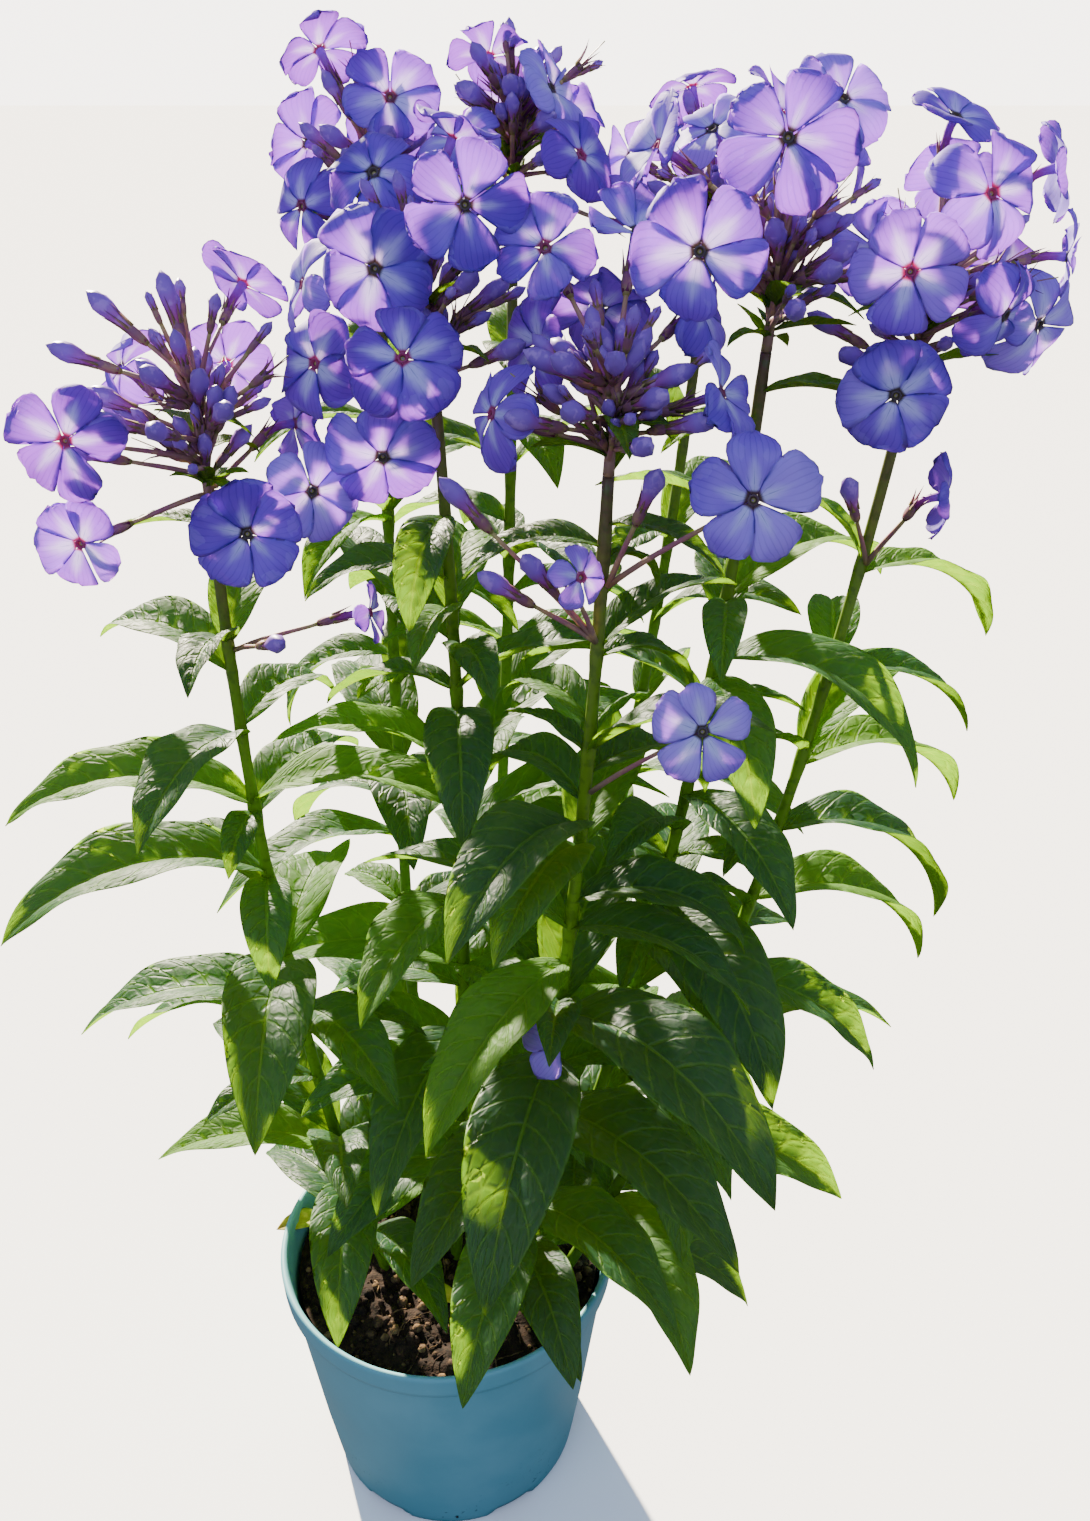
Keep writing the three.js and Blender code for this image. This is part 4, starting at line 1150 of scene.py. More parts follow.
@dataclass(frozen=True)
class MouldedPot:
    """Injection-moulded polypropylene: a low satin sheen, chalky scuffs, and soil splashes low down."""

    name: str = "moulded_polypropylene"
    body: str = "#5a949e"
    worn: str = "#6ea4ac"
    dirt: str = "#17120a"
    scuff: float = 55.556  # mm
    speck: float = 3.03  # mm
    patch: float = 38.462  # mm
    splash_height: float = 55.0  # mm above the base, below which soil clings

    def make(self) -> bpy.types.Material:
        """Makes the material: soil clings where a speck, a patch and the low part of the wall meet.

        Returns:
            The material.
        """
        material, add = new_material(self.name)
        coords = add("TexCoord", output="Object")
        height = add("SeparateXYZ", [coords], 2)
        noise = {"Vector": coords, "Detail": 5.0, "Roughness": 0.6, "Scale": scale_of(self.scuff)}
        cloud = add("TexNoise", noise)
        speck = add("TexNoise", noise | {"Scale": scale_of(self.speck), "Detail": 4.0, "Roughness": 0.7})
        patch = add("TexNoise", {"Vector": coords, "Scale": scale_of(self.patch), "Detail": 2.0})
        worn = add("MapRange", [cloud, 0.35, 0.75, 0.0, 0.65], **SMOOTH)
        colour = add("Mix", {0: worn, 6: self.body, 7: self.worn}, 2, **COLOURS)
        low = add("MapRange", [height, 4 * MM, self.splash_height * MM, 1.0, 0.0], **SMOOTH)
        spots = add("MapRange", [speck, 0.60, 0.66], **SMOOTH)
        near = add("MapRange", [patch, 0.5, 0.62], **SMOOTH)
        dirt = add("Math", [spots, near], operation="MULTIPLY")
        dirt = add("Math", [dirt, low], operation="MULTIPLY")
        colour = add("Mix", {0: dirt, 6: colour, 7: self.dirt}, 2, **COLOURS)
        rough = add("MapRange", [cloud, 0.3, 0.7, 0.42, 0.58], **SMOOTH)
        bump = add("Bump", {"Height": speck, "Strength": 0.12, "Distance": 0.3 * MM})
        look = {"Base Color": colour, "Roughness": rough, "Normal": bump, "IOR": 1.49}
        add("OutputMaterial", {"Surface": add("BsdfPrincipled", look | {"Specular IOR Level": 0.32})})
        return material


@dataclass(frozen=True)
class Peat:
    """Moist peat compost: almost black, crumbly and matt, with tan fibres and a little moss."""

    name: str = "moist_peat"
    dark: str = "#0e0a07"
    brown: str = "#2c1f15"
    tan: str = "#7c6240"
    crumb: float = 4.167  # mm
    fibre: float = 1.111  # mm

    def make(self) -> bpy.types.Material:
        """Makes the material. tone's first value picks how tan a crumb is.

        Returns:
            The material.
        """
        material, add = new_material(self.name)
        coords = add("TexCoord", output="Object")
        tone = add("SeparateXYZ", [add("Attribute", output="Vector", attribute_name="tone")])
        rough = {"Vector": coords, "Scale": scale_of(self.crumb), "Detail": 6.0, "Roughness": 0.7}
        level = add("Math", [add("TexNoise", rough), tone], operation="ADD")
        colour = add("ValToRGB", [level], stops=((0.36, self.dark), (0.62, self.brown), (1.0, self.tan)))
        fibre = add("TexNoise", {"Vector": coords, "Scale": scale_of(self.fibre), "Detail": 2.0})
        bump = add("Bump", {"Height": fibre, "Strength": 0.7, "Distance": 0.8 * MM})
        look = {"Base Color": colour, "Roughness": 0.95, "Normal": bump}
        add("OutputMaterial", {"Surface": add("BsdfPrincipled", look | {"Specular IOR Level": 0.15})})
        return material


class Finish(Enum):
    """The finishes of the plant's parts."""

    LEAF = LeafBlade()
    PETAL = Petal()
    STEM = Skinned(
        "phlox_stem_skin", ((0.0, "#44640e"), (0.55, "#6a9410"), (0.86, "#607a1c"), (1.0, "#5c4634")),
        "#3c5c0c", 0.42, 0.2,
    )
    STALK = Skinned("phlox_stalk_skin", ((0.0, "#7c6450"), (0.6, "#8a5062"), (1.0, "#8a8444")), "#a48458")
    TUBE = Skinned(
        "phlox_flower_tube", ((0.0, "#8a52d0"), (0.3, "#8a2a90"), (0.7, "#7a1460"), (1.0, "#5c1a3c")),
        "#9a3aa0", 0.45, 0.3,
    )
    CALYX = Skinned(
        "phlox_calyx", ((0.0, "#868644"), (0.4, "#8a5a64"), (1.0, "#784672")), "#aa8c5e", see_through=0.25
    )
    BUD = Skinned(
        "phlox_bud",
        ((0.0, "#7a3452"), (0.3, "#a23c78"), (0.48, "#9c4eac"), (0.7, "#8a5cc0"), (1.0, "#7854a8")),
        "#b88cd8", 0.42, 0.25,
    )
    POT = MouldedPot()
    PEAT = Peat()
    DRY_LEAF = Skinned(
        "dry_leaf", ((0.0, "#7a3a12"), (0.5, "#b8581c"), (1.0, "#d0802c")), "#5f2c10", 0.7, 0.3
    )
    FADED_LEAF = Skinned(
        "faded_leaf", ((0.0, "#8aa41c"), (0.6, "#c8bc2c"), (1.0, "#7a4a1c")), "#e0d050", 0.6, 0.3
    )


# ---------------------------------------------------------------- the plant's parts


@dataclass(frozen=True)
class BladeForm:
    """How finely a leaf blade is made, and its relief in mm."""

    stations: int = 40
    across: int = 13
    under: int = 5
    vein_count: float = 9.0
    thickness: float = 0.5  # at the rib
    quilting: float = 1.3  # how far the blade bulges between its veins
    vein_loop: float = 1.5  # how far a vein's end lies past its foot, in veins
    edge_wave: float = 0.035  # the height of the edge's waves, as a share of the width

    def rings(self, leaf: Leaf, draw: Draws) -> tuple[Array, Array, Array]:
        """Makes a leaf's rings: a lens section carried along its arching rib.

        The blade is lifted from its rib by the fold, bulges between its looped side veins by the
        sine of the vein count, and its edge waves up and down.

        Args:
            leaf: the leaf.
            draw: the draws for its waves.

        Returns:
            The rings, the values that each vertex carries, and the tip.
        """
        s = 1 - (1 - shares(self.stations, 0, 0.996)) ** 1.15
        k, side = lens_ring(self.across, self.under)
        centre, over, normal, _ = leaf.rib(s)
        half = leaf.half_width(s)[:, None]
        a = np.abs(k)[None]
        fold = math.radians(LEAF_FOLD)
        count = self.vein_count * s[:, None] - self.vein_loop * a**1.25
        rise = half * math.sin(fold) * (1.25 * a - 0.25 * a**3)
        between = np.abs(np.sin(math.pi * (count + 0.5)))
        swell = self.quilting * between * np.minimum(3.2 * a, 1) * (1 - a**4)
        turns = draw.between(2, 3.4) * s[:, None] + draw() + 0.2 * np.sign(k)
        wave = leaf.width * self.edge_wave * a**3 * np.sin(2 * math.pi * turns)
        thick = self.thickness * (1 - a**2) * side * 0.5
        shape = np.sin(math.pi * np.minimum(s[:, None] * 1.02, 1)) ** 0.5
        lift = rise + (swell + wave) * shape + thick
        aside = half * k * math.cos(fold)
        rings = centre[:, None] + aside[..., None] * over[:, None] + lift[..., None] * normal[:, None]
        place = np.stack([np.broadcast_to(k, count.shape), count, np.broadcast_to(side, count.shape)], -1)
        return rings, place, leaf.rib(np.array([1.0]))[0][0]

    def add(self, skin: Skin, leaf: Leaf, draw: Draws, finish: int = 0) -> None:
        """Adds a leaf to a skin."""
        rings, place, tip = self.rings(leaf, draw)
        skin.loft(rings, place, (leaf.tone, draw(), leaf.width / 2), (rings[0].mean(0), tip), finish)


@dataclass
class LeafyStem:
    """A stem with its nodes, and its opposite leaves."""

    name: str
    plan: StemPlan
    leaves: list[Leaf]
    form: BladeForm = BladeForm()
    steps: int = 90
    sides: int = 16
    node_swell: float = 0.13  # how much thicker the stem is at a leaf pair
    node_length: float = 0.008  # how far that reaches, as a share of the stem

    def stem(self) -> Skin:
        """Makes the stem: a tapering tube, swollen by a bell curve where each leaf pair leaves it.

        Returns:
            The stem's skin.
        """
        skin = Skin()
        t = shares(self.steps)
        radii = np.asarray(stem_radius(t))
        for leaf in self.leaves:
            node = self.plan.share_at(leaf.root[2])
            radii = radii * (1 + self.node_swell * np.exp(-(((t - node) / self.node_length) ** 2)))
        skin.tube(self.plan.at(t), radii, self.sides, (0.5, 0.5, 0.5))
        return skin

    def blades(self) -> Skin:
        """Makes all the stem's leaves.

        Returns:
            The leaves' skin.
        """
        skin, draw = Skin(), Draws(self.plan.seed + 1000)
        for leaf in self.leaves:
            self.form.add(skin, leaf, draw)
        return skin

    def build(self, materials: dict[Finish, bpy.types.Material]) -> None:
        """Makes the stem's pieces.

        Args:
            materials: the materials by finish.
        """
        node = f"leafy_stem_{self.name}"
        self.stem().piece(f"stem_{self.name}", [materials[Finish.STEM]], "leaf_green", node)
        self.blades().piece(f"leaves_{self.name}", [materials[Finish.LEAF]], "leaf_green", node)


@dataclass(frozen=True)
class Opening:
    """How a flower has opened. Lengths are shares of its radius, and tone is what its finish reads."""

    breadth: float  # half a lobe's width
    dish: float  # how far the lobes lean forward
    curl: float  # how far their ends fall back
    cup: float  # how far a lobe's sides rise
    overlap: float  # how far one side lies over its neighbour
    ripple: float  # the height of the waves at the edge
    tone: tuple[float, float, float]

    @staticmethod
    def drawn(draw: Draws) -> "Opening":
        """Draws a flower's opening: most lie nearly flat, and some are cupped or fall back.

        Args:
            draw: the draws.

        Returns:
            The opening.
        """
        return Opening(
            breadth=draw.between(0.44, 0.57),
            dish=draw.between(-0.24, 0.38),
            curl=draw.between(0.02, 0.42),
            cup=draw.between(-0.25, 0.3),
            overlap=draw.between(0.04, 0.13),
            ripple=draw.between(0.03, 0.1),
            # The tone: the painted sun on the flower, its star's size, and the painted backlight that tints
            # it mauve and picks its eye.
            tone=(draw(), draw.between(0.2, 0.45), draw()),
        )


@dataclass
class FlowerSpray:
    """The flowers, buds, bracts and stalks of a head or a side shoot."""

    name: str
    node: str
    blooms: Blooms
    seed: int
    young_buds: int = 0
    bract_count: int = 0
    spent_every: int = 6  # one young bud in so many is a calyx whose flower has dropped
    petal_steps: int = 9
    petal_across: int = 7
    petal_thickness: float = 0.4
    petal_play: float = 8.0  # degrees that a petal or a calyx tooth may stand off its fifth of a turn
    notch: float = 0.05  # a petal's notch, as a share of its reach
    groove: float = 0.03  # the groove down its middle, as a share of its size
    throat_radius: float = 1.3
    sepal_length: float = 7.5
    bract_form: BladeForm = BladeForm(10, 5, 3, 7.0, 0.4, 0.2)
    petals: Skin = field(default_factory=Skin)
    greens: Skin = field(default_factory=Skin)

    def petal(self, flower: Flower, opening: Opening, index: int, draw: Draws) -> None:
        """Adds one petal: narrow at the eye, broad and round at its end, with a faint notch there.

        Its half width grows as a power of s and closes as the root of 1 less a higher power. A soft
        groove runs down its middle, and each side lies over or under its neighbour's.

        Args:
            flower: the flower.
            opening: how the flower has opened.
            index: which of its five petals.
            draw: the draws for its own shape.
        """
        s = np.sin(shares(self.petal_steps, 0, 0.94) * math.pi / 2)
        s = s / s[-1] * 0.992
        k, side = lens_ring(self.petal_across, 3)
        play = draw.between(-self.petal_play, self.petal_play)
        angle = math.radians(flower.spin + 360 / LOBES * index + play)
        out = turned(*square_to(flower.face), angle)
        wide = np.cross(flower.face, out)
        size = flower.radius * draw.between(0.97, 1.09)
        swell, blunt = draw.between(0.62, 0.9), draw.between(3.2, 5.5)
        broad = size * opening.breadth * draw.between(0.88, 1.08) / 0.69
        half = np.maximum(broad * s**swell * np.sqrt(1 - s**blunt), 0.45)[:, None]
        lean, sweep = opening.dish + draw.between(-0.2, 0.2), draw.between(-0.1, 0.1)
        cup, phase, bow = opening.cup + draw.between(-0.14, 0.14), draw(), draw.between(-0.15, 0.15)
        # Each petal gets its own share of painted sun, paler where lit.
        sunlit_paleness = min(max(opening.tone[0] + draw.between(-0.3, 0.3), 0.0), 1.0)
        s, k = s[:, None], k[None]
        reach = self.throat_radius * 0.8 + (size - self.throat_radius * 0.8) * s
        reach = reach * (1 - 0.08 * k**2 * s**2 - self.notch * np.exp(-((k / 0.3) ** 2)) * s**8)
        reach = reach * (1 + 0.025 * np.sin(2 * math.pi * (1.6 * k + phase)) * s**5)
        height = size * (0.08 * np.sin(math.pi * s) + lean * s**1.6 - opening.curl * s**4)
        height = height + half * (cup * k**2 * s + opening.overlap * k + bow * k * s)
        wave = np.sin(2 * math.pi * (1.2 * k + 0.8 * s + phase)) * s**2 * (0.4 + 0.6 * k**2)
        height = height + size * opening.ripple * wave
        height = height - size * self.groove * np.exp(-((k / 0.22) ** 2)) * np.sin(math.pi * s)
        height = height + side[None] * self.petal_thickness * 0.5 * (1 - k**2)
        aside = half * k + size * sweep * s**2
        rings = flower.throat + reach[..., None] * out + aside[..., None] * wide
        rings = rings + height[..., None] * flower.face
        place = np.stack(np.broadcast_arrays(k, s, side[None]), -1)
        self.petals.loft(rings, place, (sunlit_paleness, *opening.tone[1:]))

    def mouth(self, flower: Flower, opening: Opening) -> None:
        """Adds the mouth of a flower's tube: a low ring round a closed middle, painted near black as the
        shade inside the tube, with pollen at its centre.

        Args:
            flower: the flower.
            opening: how it has opened, for its tone.
        """
        out = turned(*square_to(flower.face), 2 * math.pi * np.arange(8) / 8)
        radii = self.throat_radius * np.array([0.25, 0.6, 0.95, 1.3, 1.4])
        heights = np.array([-0.6, -0.3, 0.75, 0.6, -0.8])
        rings = flower.throat + radii[:, None, None] * out + heights[:, None, None] * flower.face
        place = np.zeros_like(rings)
        place[..., 1], place[..., 2] = np.array([0.0, 0.01, 0.06, 0.07, 0.08])[:, None], 1.0
        self.petals.loft(rings, place, opening.tone)

    def curved(self, points: Sequence[Array], count: int) -> Array:
        """Gives a smooth path: a Bezier curve drawn by its control points.

        Args:
            points: the control points, in mm.
            count: how many points the path has.

        Returns:
            The path's points, one to a row.
        """
        t = shares(count)[:, None]
        n = len(points) - 1
        return sum(math.comb(n, i) * t**i * (1 - t) ** (n - i) * points[i] for i in range(n + 1))

    def calyx(
        self, foot: Array, along: Array, draw: Draws, size: float = 1.0, spread: float = 1.0
    ) -> None:
        """Adds a calyx: a ribbed cup with five thin, pointed lobes that lie along the tube.

        Args:
            foot: the middle of its foot.
            along: the way it points.
            draw: the draws for its lobes.
            size: its size as a share of a full calyx.
            spread: how far its lobes stand out, as a share of a full calyx in flower.
        """
        cup = foot + np.outer(shares(5, -1.0, 8.0 * size), along)
        radii = size * np.array([0.9, 1.55, 1.8, 1.75, 1.6])
        ribs = 1 + 0.12 * np.cos(2 * math.pi * np.arange(10) / 2)[None] * np.ones((5, 1))
        self.greens.tube(cup, radii, 10, (draw(), 0, 0), 1, ribs)
        side, over = square_to(along)
        for i in range(LOBES):
            play = draw.between(-self.petal_play, self.petal_play)
            out = turned(side, over, math.radians(360 / LOBES * i + play))
            start = foot + (along * 6.5 + out * 1.5) * size
            middle = foot + (along * 11 + out * 1.9) * size
            tip = foot + along * (8 + self.sepal_length) * size + out * draw.between(1.8, 3.4) * size * spread
            path = self.curved([start, middle, tip], 4)
            self.greens.tube(path, size * np.array([0.75, 0.55, 0.3, 0.06]), 3, (draw(), 0, 0), 1)

    def stalk(self, root: Array, end: Array, along: Array, draw: Draws) -> None:
        """Adds a stalk that leaves its root straight and meets the calyx in line.

        Args:
            root: where it leaves the axis.
            end: the foot of the calyx.
            along: the way the calyx points.
            draw: the draws for its tone.
        """
        reach = np.linalg.norm(end - root)
        middle = root + (end - root) * 0.4 + UP * 0.04 * reach
        path = self.curved([root, middle, end - along * 0.25 * reach, end], 8)
        self.greens.tube(path, np.linspace(1.15, 0.75, 8), 6, (draw(), 0, 0), 0)

    def open_flower(self, flower: Flower, draw: Draws) -> None:
        """Adds an open flower: petals, throat, tube, calyx and stalk.

        Args:
            flower: the flower.
            draw: the draws for its shape.
        """
        opening = Opening.drawn(draw)
        for index in range(LOBES):
            self.petal(flower, opening, index, draw)
        self.mouth(flower, opening)
        throat, face, foot = flower.throat, flower.face, flower.calyx
        along = unit(throat - face * 8 - foot)
        path = self.curved([throat - face * 0.6, throat - face * 9, foot + along * 6, foot], 10)
        radii = np.interp(shares(10), [0, 0.06, 0.3, 0.8, 1], [1.9, 1.6, 1.45, 1.6, 1.4])
        self.petals.tube(path, radii, 8, (0.5, 0.5, 0.5), 1)
        self.calyx(foot, along, draw)
        self.stalk(flower.root, foot, along, draw)

    def closed_bud(self, bud: Bud, draw: Draws, size: float = 1.0) -> None:
        """Adds a bud: a slim tube that swells to a twisted point, with its calyx and stalk.

        Args:
            bud: the bud.
            draw: the draws for its shape.
            size: its thickness as a share of a full bud's.
        """
        along = unit(bud.tip - bud.foot)
        length = np.linalg.norm(bud.tip - bud.foot)
        s = shares(10 if size == 1 else 8)
        places, sizes = [0, 0.3, 0.46, 0.62, 0.76, 0.9, 1], [1.3, 1.5, 1.9, 3.1, 3.5, 2.3, 0.12]
        radii = size * np.interp(s, places, sizes)
        path = bud.foot + np.outer(s * length, along)
        angle = 2 * math.pi * np.arange(8) / 8
        twist = 4 * s[:, None] * draw.between(2.4, 3.4)
        ribs = 1 + 0.1 * np.cos(4 * angle[None] + twist) * np.minimum(s[:, None] * 1.6, 1)
        self.petals.tube(path, radii, 8, (draw(), 0, 0), 2, ribs)
        self.calyx(bud.foot, along, draw, 0.3 + 0.7 * size)
        self.stalk(bud.root, bud.foot, along, draw)

    def spent(self, bud: Bud, draw: Draws) -> None:
        """Adds a calyx whose flower has dropped: its lobes spread, and the thread of its style stays.

        Args:
            bud: the bud that would stand there.
            draw: the draws for its shape.
        """
        along = unit(bud.tip - bud.foot)
        self.calyx(bud.foot, along, draw, 0.9, 2.4)
        bend = square_to(along)[0] * draw.between(-3, 3)
        path = self.curved([bud.foot + along * 5, bud.foot + along * 11, bud.foot + along * 19 + bend], 5)
        self.greens.tube(path, np.full(5, 0.22), 4, (draw(), 0, 0), 0)
        self.stalk(bud.root, bud.foot, along, draw)

    def crowd(self, draw: Draws) -> None:
        """Adds the small young buds and the bracts that crowd round a head's axis.

        Args:
            draw: the draws for their places and shapes.
        """
        low, high = self.blooms.axis
        rise = unit(high - low)
        side, over = square_to(rise)
        for i in range(self.young_buds):
            root = low + (high - low) * draw.between(0.15, 1.0)
            out = turned(side, over, math.radians(GOLDEN_ANGLE * i))
            aim = turned(rise, out, math.radians(draw.between(8, 72)))
            size = draw.between(0.42, 0.85)
            tip = root + aim * draw.between(17, 41)
            bud = Bud(tip, tip - aim * BUD_LENGTH * size * 0.95, root)
            if i % self.spent_every == self.spent_every - 1:
                self.spent(bud, draw)
            else:
                self.closed_bud(bud, draw, size)
        for i in range(self.bract_count):
            root = low + (high - low) * draw.between(0.0, 0.7)
            lift = draw.between(15, 60)
            droop, length, roll = draw.between(20, 70), draw.between(16, 34), draw.between(-30, 30)
            leaf = Leaf(root, GOLDEN_ANGLE * i + 40, lift, lift - droop, length, roll)
            # Each bract gets a random tone of painted sun or shade.
            leaf.tone = draw.between(0.0, 0.7)
            self.bract_form.add(self.greens, leaf, draw, 2)

    def build(self, materials: dict[Finish, bpy.types.Material]) -> None:
        """Makes the pieces of the head or side shoot.

        Args:
            materials: the materials by finish.
        """
        draw = Draws(self.seed)
        if self.blooms.axis is not None:
            low, high = self.blooms.axis
            path = low + np.outer(shares(10), high - low)
            self.greens.tube(path, np.linspace(2.0, 1.1, 10), 9, (0.5, 0, 0), 0)
            self.crowd(Draws(self.seed + 50))
        for flower in self.blooms.flowers:
            self.open_flower(flower, draw)
        for bud in self.blooms.buds:
            self.closed_bud(bud, draw)
        flowers = [materials[f] for f in (Finish.PETAL, Finish.TUBE, Finish.BUD)]
        self.petals.piece(f"flowers_{self.name}", flowers, "petal_violet", self.node)
        greens = [materials[f] for f in (Finish.STALK, Finish.CALYX, Finish.LEAF)]
        self.greens.piece(f"stalks_{self.name}", greens, "petal_violet", self.node)


@dataclass
class NurseryPot:
    """The moulded pot: a tapered wall with a rolled band at its rim and notches round its foot."""

    sides: int = 180

    def skin(self) -> Skin:
        """Makes the pot by turning its profile; the ring that it stands on lifts at each notch.

        Returns:
            The pot's skin.
        """
        wall_top, slope = POT_HEIGHT - RIM_BAND, WALL_SLOPE
        top = FOOT_RADIUS + slope * wall_top
        floor = FOOT_HEIGHT + WALL
        disc, foot, rim = CENTRE_DISC_RADIUS, FOOT_RADIUS, RIM_RADIUS
        profile = np.array([
            (disc - 1, 0), (disc, 0.3), (disc + 1, FOOT_HEIGHT - 1), (disc + 2, FOOT_HEIGHT),
            (foot - 4.2, FOOT_HEIGHT), (foot - 4.2, 0.2), (foot - 3.8, 0), (foot - 3, 0), (foot - 1.6, 1.0),
            (foot - 0.4, 4.0), (foot + 0.4, 9.0), (foot + slope * 40, 40), (foot + slope * 80, 80),
            (top - slope * 2, wall_top - 2), (top, wall_top - 0.2), (rim - 1.6, wall_top + 0.4),
            (rim - 0.7, wall_top + 1.4), (rim - 0.4, wall_top + 4), (rim - 0.1, POT_HEIGHT - 3),
            (rim, POT_HEIGHT - 1.5), (rim - 0.4, POT_HEIGHT - 0.4), (rim - 1.3, POT_HEIGHT),
            (rim - 2.5, POT_HEIGHT - 0.2), (rim - 3.4, POT_HEIGHT - 1.4), (top - WALL + 0.4, wall_top + 1),
            (top - WALL, wall_top - 2), (foot + slope * 60 - WALL, 60),
            (foot + slope * floor - WALL, floor + 2), (disc - 1, floor), (disc - 3, WALL),
        ])
        angle = 2 * math.pi * np.arange(self.sides) / self.sides
        turn = (angle / (2 * math.pi) * DRAIN_NOTCHES) % 1
        half = NOTCH_WIDTH / FOOT_RADIUS / (2 * math.pi) * DRAIN_NOTCHES / 2
        lift = (FOOT_HEIGHT - 1) * np.clip((half - np.abs(turn - 0.5)) / 0.03 + 0.5, 0, 1)
        radius, z = profile[:, 0][:, None], profile[:, 1][:, None] * np.ones(self.sides)
        stands = (radius > FOOT_RADIUS - 5) & (z < FOOT_HEIGHT)
        z = np.where(stands, np.maximum(z, lift[None]), z)
        rings = level_rings(radius, angle, z)
        place = np.stack([np.broadcast_to(angle, z.shape), z / POT_HEIGHT, np.ones_like(z)], -1)
        skin = Skin()
        skin.loft(rings, place, (0, 0, 0), (np.array([0.0, 0, 0]), np.array([0, 0, WALL])))
        return skin

    def build(self, materials: dict[Finish, bpy.types.Material]) -> None:
        """Makes the pot's piece."""
        self.skin().piece("pot_shell", [materials[Finish.POT]], "pot_plastic", "pot")


@dataclass
class Soil:
    """The soil: a rough bed with crumbs and fibres on it."""

    rings: int = 60
    sides: int = 160
    crumbs: int = 900
    fibres: int = 60
    reach: float = 76.0  # how far from the middle crumbs and fibres lie, in mm
    seed: int = 7

    def height(self, x: Array, y: Array) -> Array:
        """Gives the bed's height: sums of sines of several lengths, and a low mound.

        Args:
            x: places to the right, in mm.
            y: places to the back, in mm.

        Returns:
            The heights in mm.
        """
        rough = 1.6 * np.sin(x / 7.3 + 1.1) * np.sin(y / 6.1)
        rough = rough + 0.9 * np.sin(x / 2.9 + y / 3.7) * np.sin(y / 2.3 - x / 4.9)
        rough = rough + 0.45 * np.sin(x / 1.3 + 2 * y / 1.9) * np.sin(y / 1.1)
        return SOIL_TOP + 2.0 - 3.5 * (np.hypot(x, y) / 78) ** 2 + rough

    def bed(self) -> Skin:
        """Makes the bed: a disc raised by its height, with a side and an underside in the pot.

        Returns:
            The bed's skin.
        """
        edge = FOOT_RADIUS + WALL_SLOPE * SOIL_TOP - WALL - 2.2
        angle = 2 * math.pi * np.arange(self.sides) / self.sides
        radius = edge * np.sin(shares(self.rings, 0.01, 1) * math.pi / 2)[::-1][:, None]
        x, y = radius * np.sin(angle), -radius * np.cos(angle)
        top = np.stack([x, y, self.height(x, y)], -1)
        under = (CENTRE_DISC_RADIUS - 5, WALL + FIT_GAP), (FOOT_RADIUS - 8, FOOT_HEIGHT + WALL + 3)
        low = [level_rings(r, angle, z) for r, z in (*under, (edge - 0.6, SOIL_TOP - 6))]
        rings = np.concatenate([low, top])
        skin = Skin()
        skin.loft(rings, np.zeros_like(rings), (0.0, 0, 0))
        return skin

    def litter(self) -> Skin:
        """Makes the crumbs, small lumpy balls pressed into the bed, and the fibres that lie on it.

        Returns:
            Their skin.
        """
        skin, draw = Skin(), Draws(self.seed)
        angle = 2 * math.pi * np.arange(6) / 6
        for _ in range(self.crumbs):
            r, b = self.reach * math.sqrt(draw()), draw() * 2 * math.pi
            x, y = r * math.sin(b), -r * math.cos(b)
            size = 0.7 + 2.6 * draw() ** 2.5
            z = float(self.height(np.array(x), np.array(y))) + size * 0.3
            rows = []
            for tilt in (-0.9, -0.2, 0.6, 1.2):
                lumpy = size * (0.8 + 0.4 * np.array([draw() for _ in range(6)]))
                rows.append(np.stack([
                    x + lumpy * math.cos(tilt) * np.cos(angle), y + lumpy * math.cos(tilt) * np.sin(angle),
                    z + lumpy * 0.75 * math.sin(tilt),
                ], -1))
            rings = np.array(rows)
            skin.loft(rings, np.zeros_like(rings), (draw.between(-0.12, 0.3), 0, 0))
        for _ in range(self.fibres):
            r, b, turn = (self.reach - 2) * math.sqrt(draw()), draw() * 2 * math.pi, draw() * 2 * math.pi
            start = np.array([r * math.sin(b), -r * math.cos(b)])
            length = draw.between(5, 17)
            t = shares(6)
            bent = turn + draw.between(-0.8, 0.8) * t
            xy = start + length * np.stack([t * np.cos(bent), t * np.sin(bent)], -1)
            from_middle = np.maximum(np.linalg.norm(xy, axis=1, keepdims=True), 1)
            xy = xy * np.minimum(1, self.reach / from_middle)
            z = self.height(xy[:, 0], xy[:, 1]) + 0.5 + draw.between(0, 2) * np.sin(math.pi * t)
            radius, tan = draw.between(0.2, 0.4), draw.between(0.05, 0.4)
            skin.tube(np.column_stack([xy, z]), np.full(6, radius), 5, (tan, 0, 0))
        return skin

    def build(self, materials: dict[Finish, bpy.types.Material]) -> None:
        """Makes the soil's pieces."""
        self.bed().piece("soil_bed", [materials[Finish.PEAT]], "potting_soil", "soil")
        self.litter().piece("soil_litter", [materials[Finish.PEAT]], "potting_soil", None)


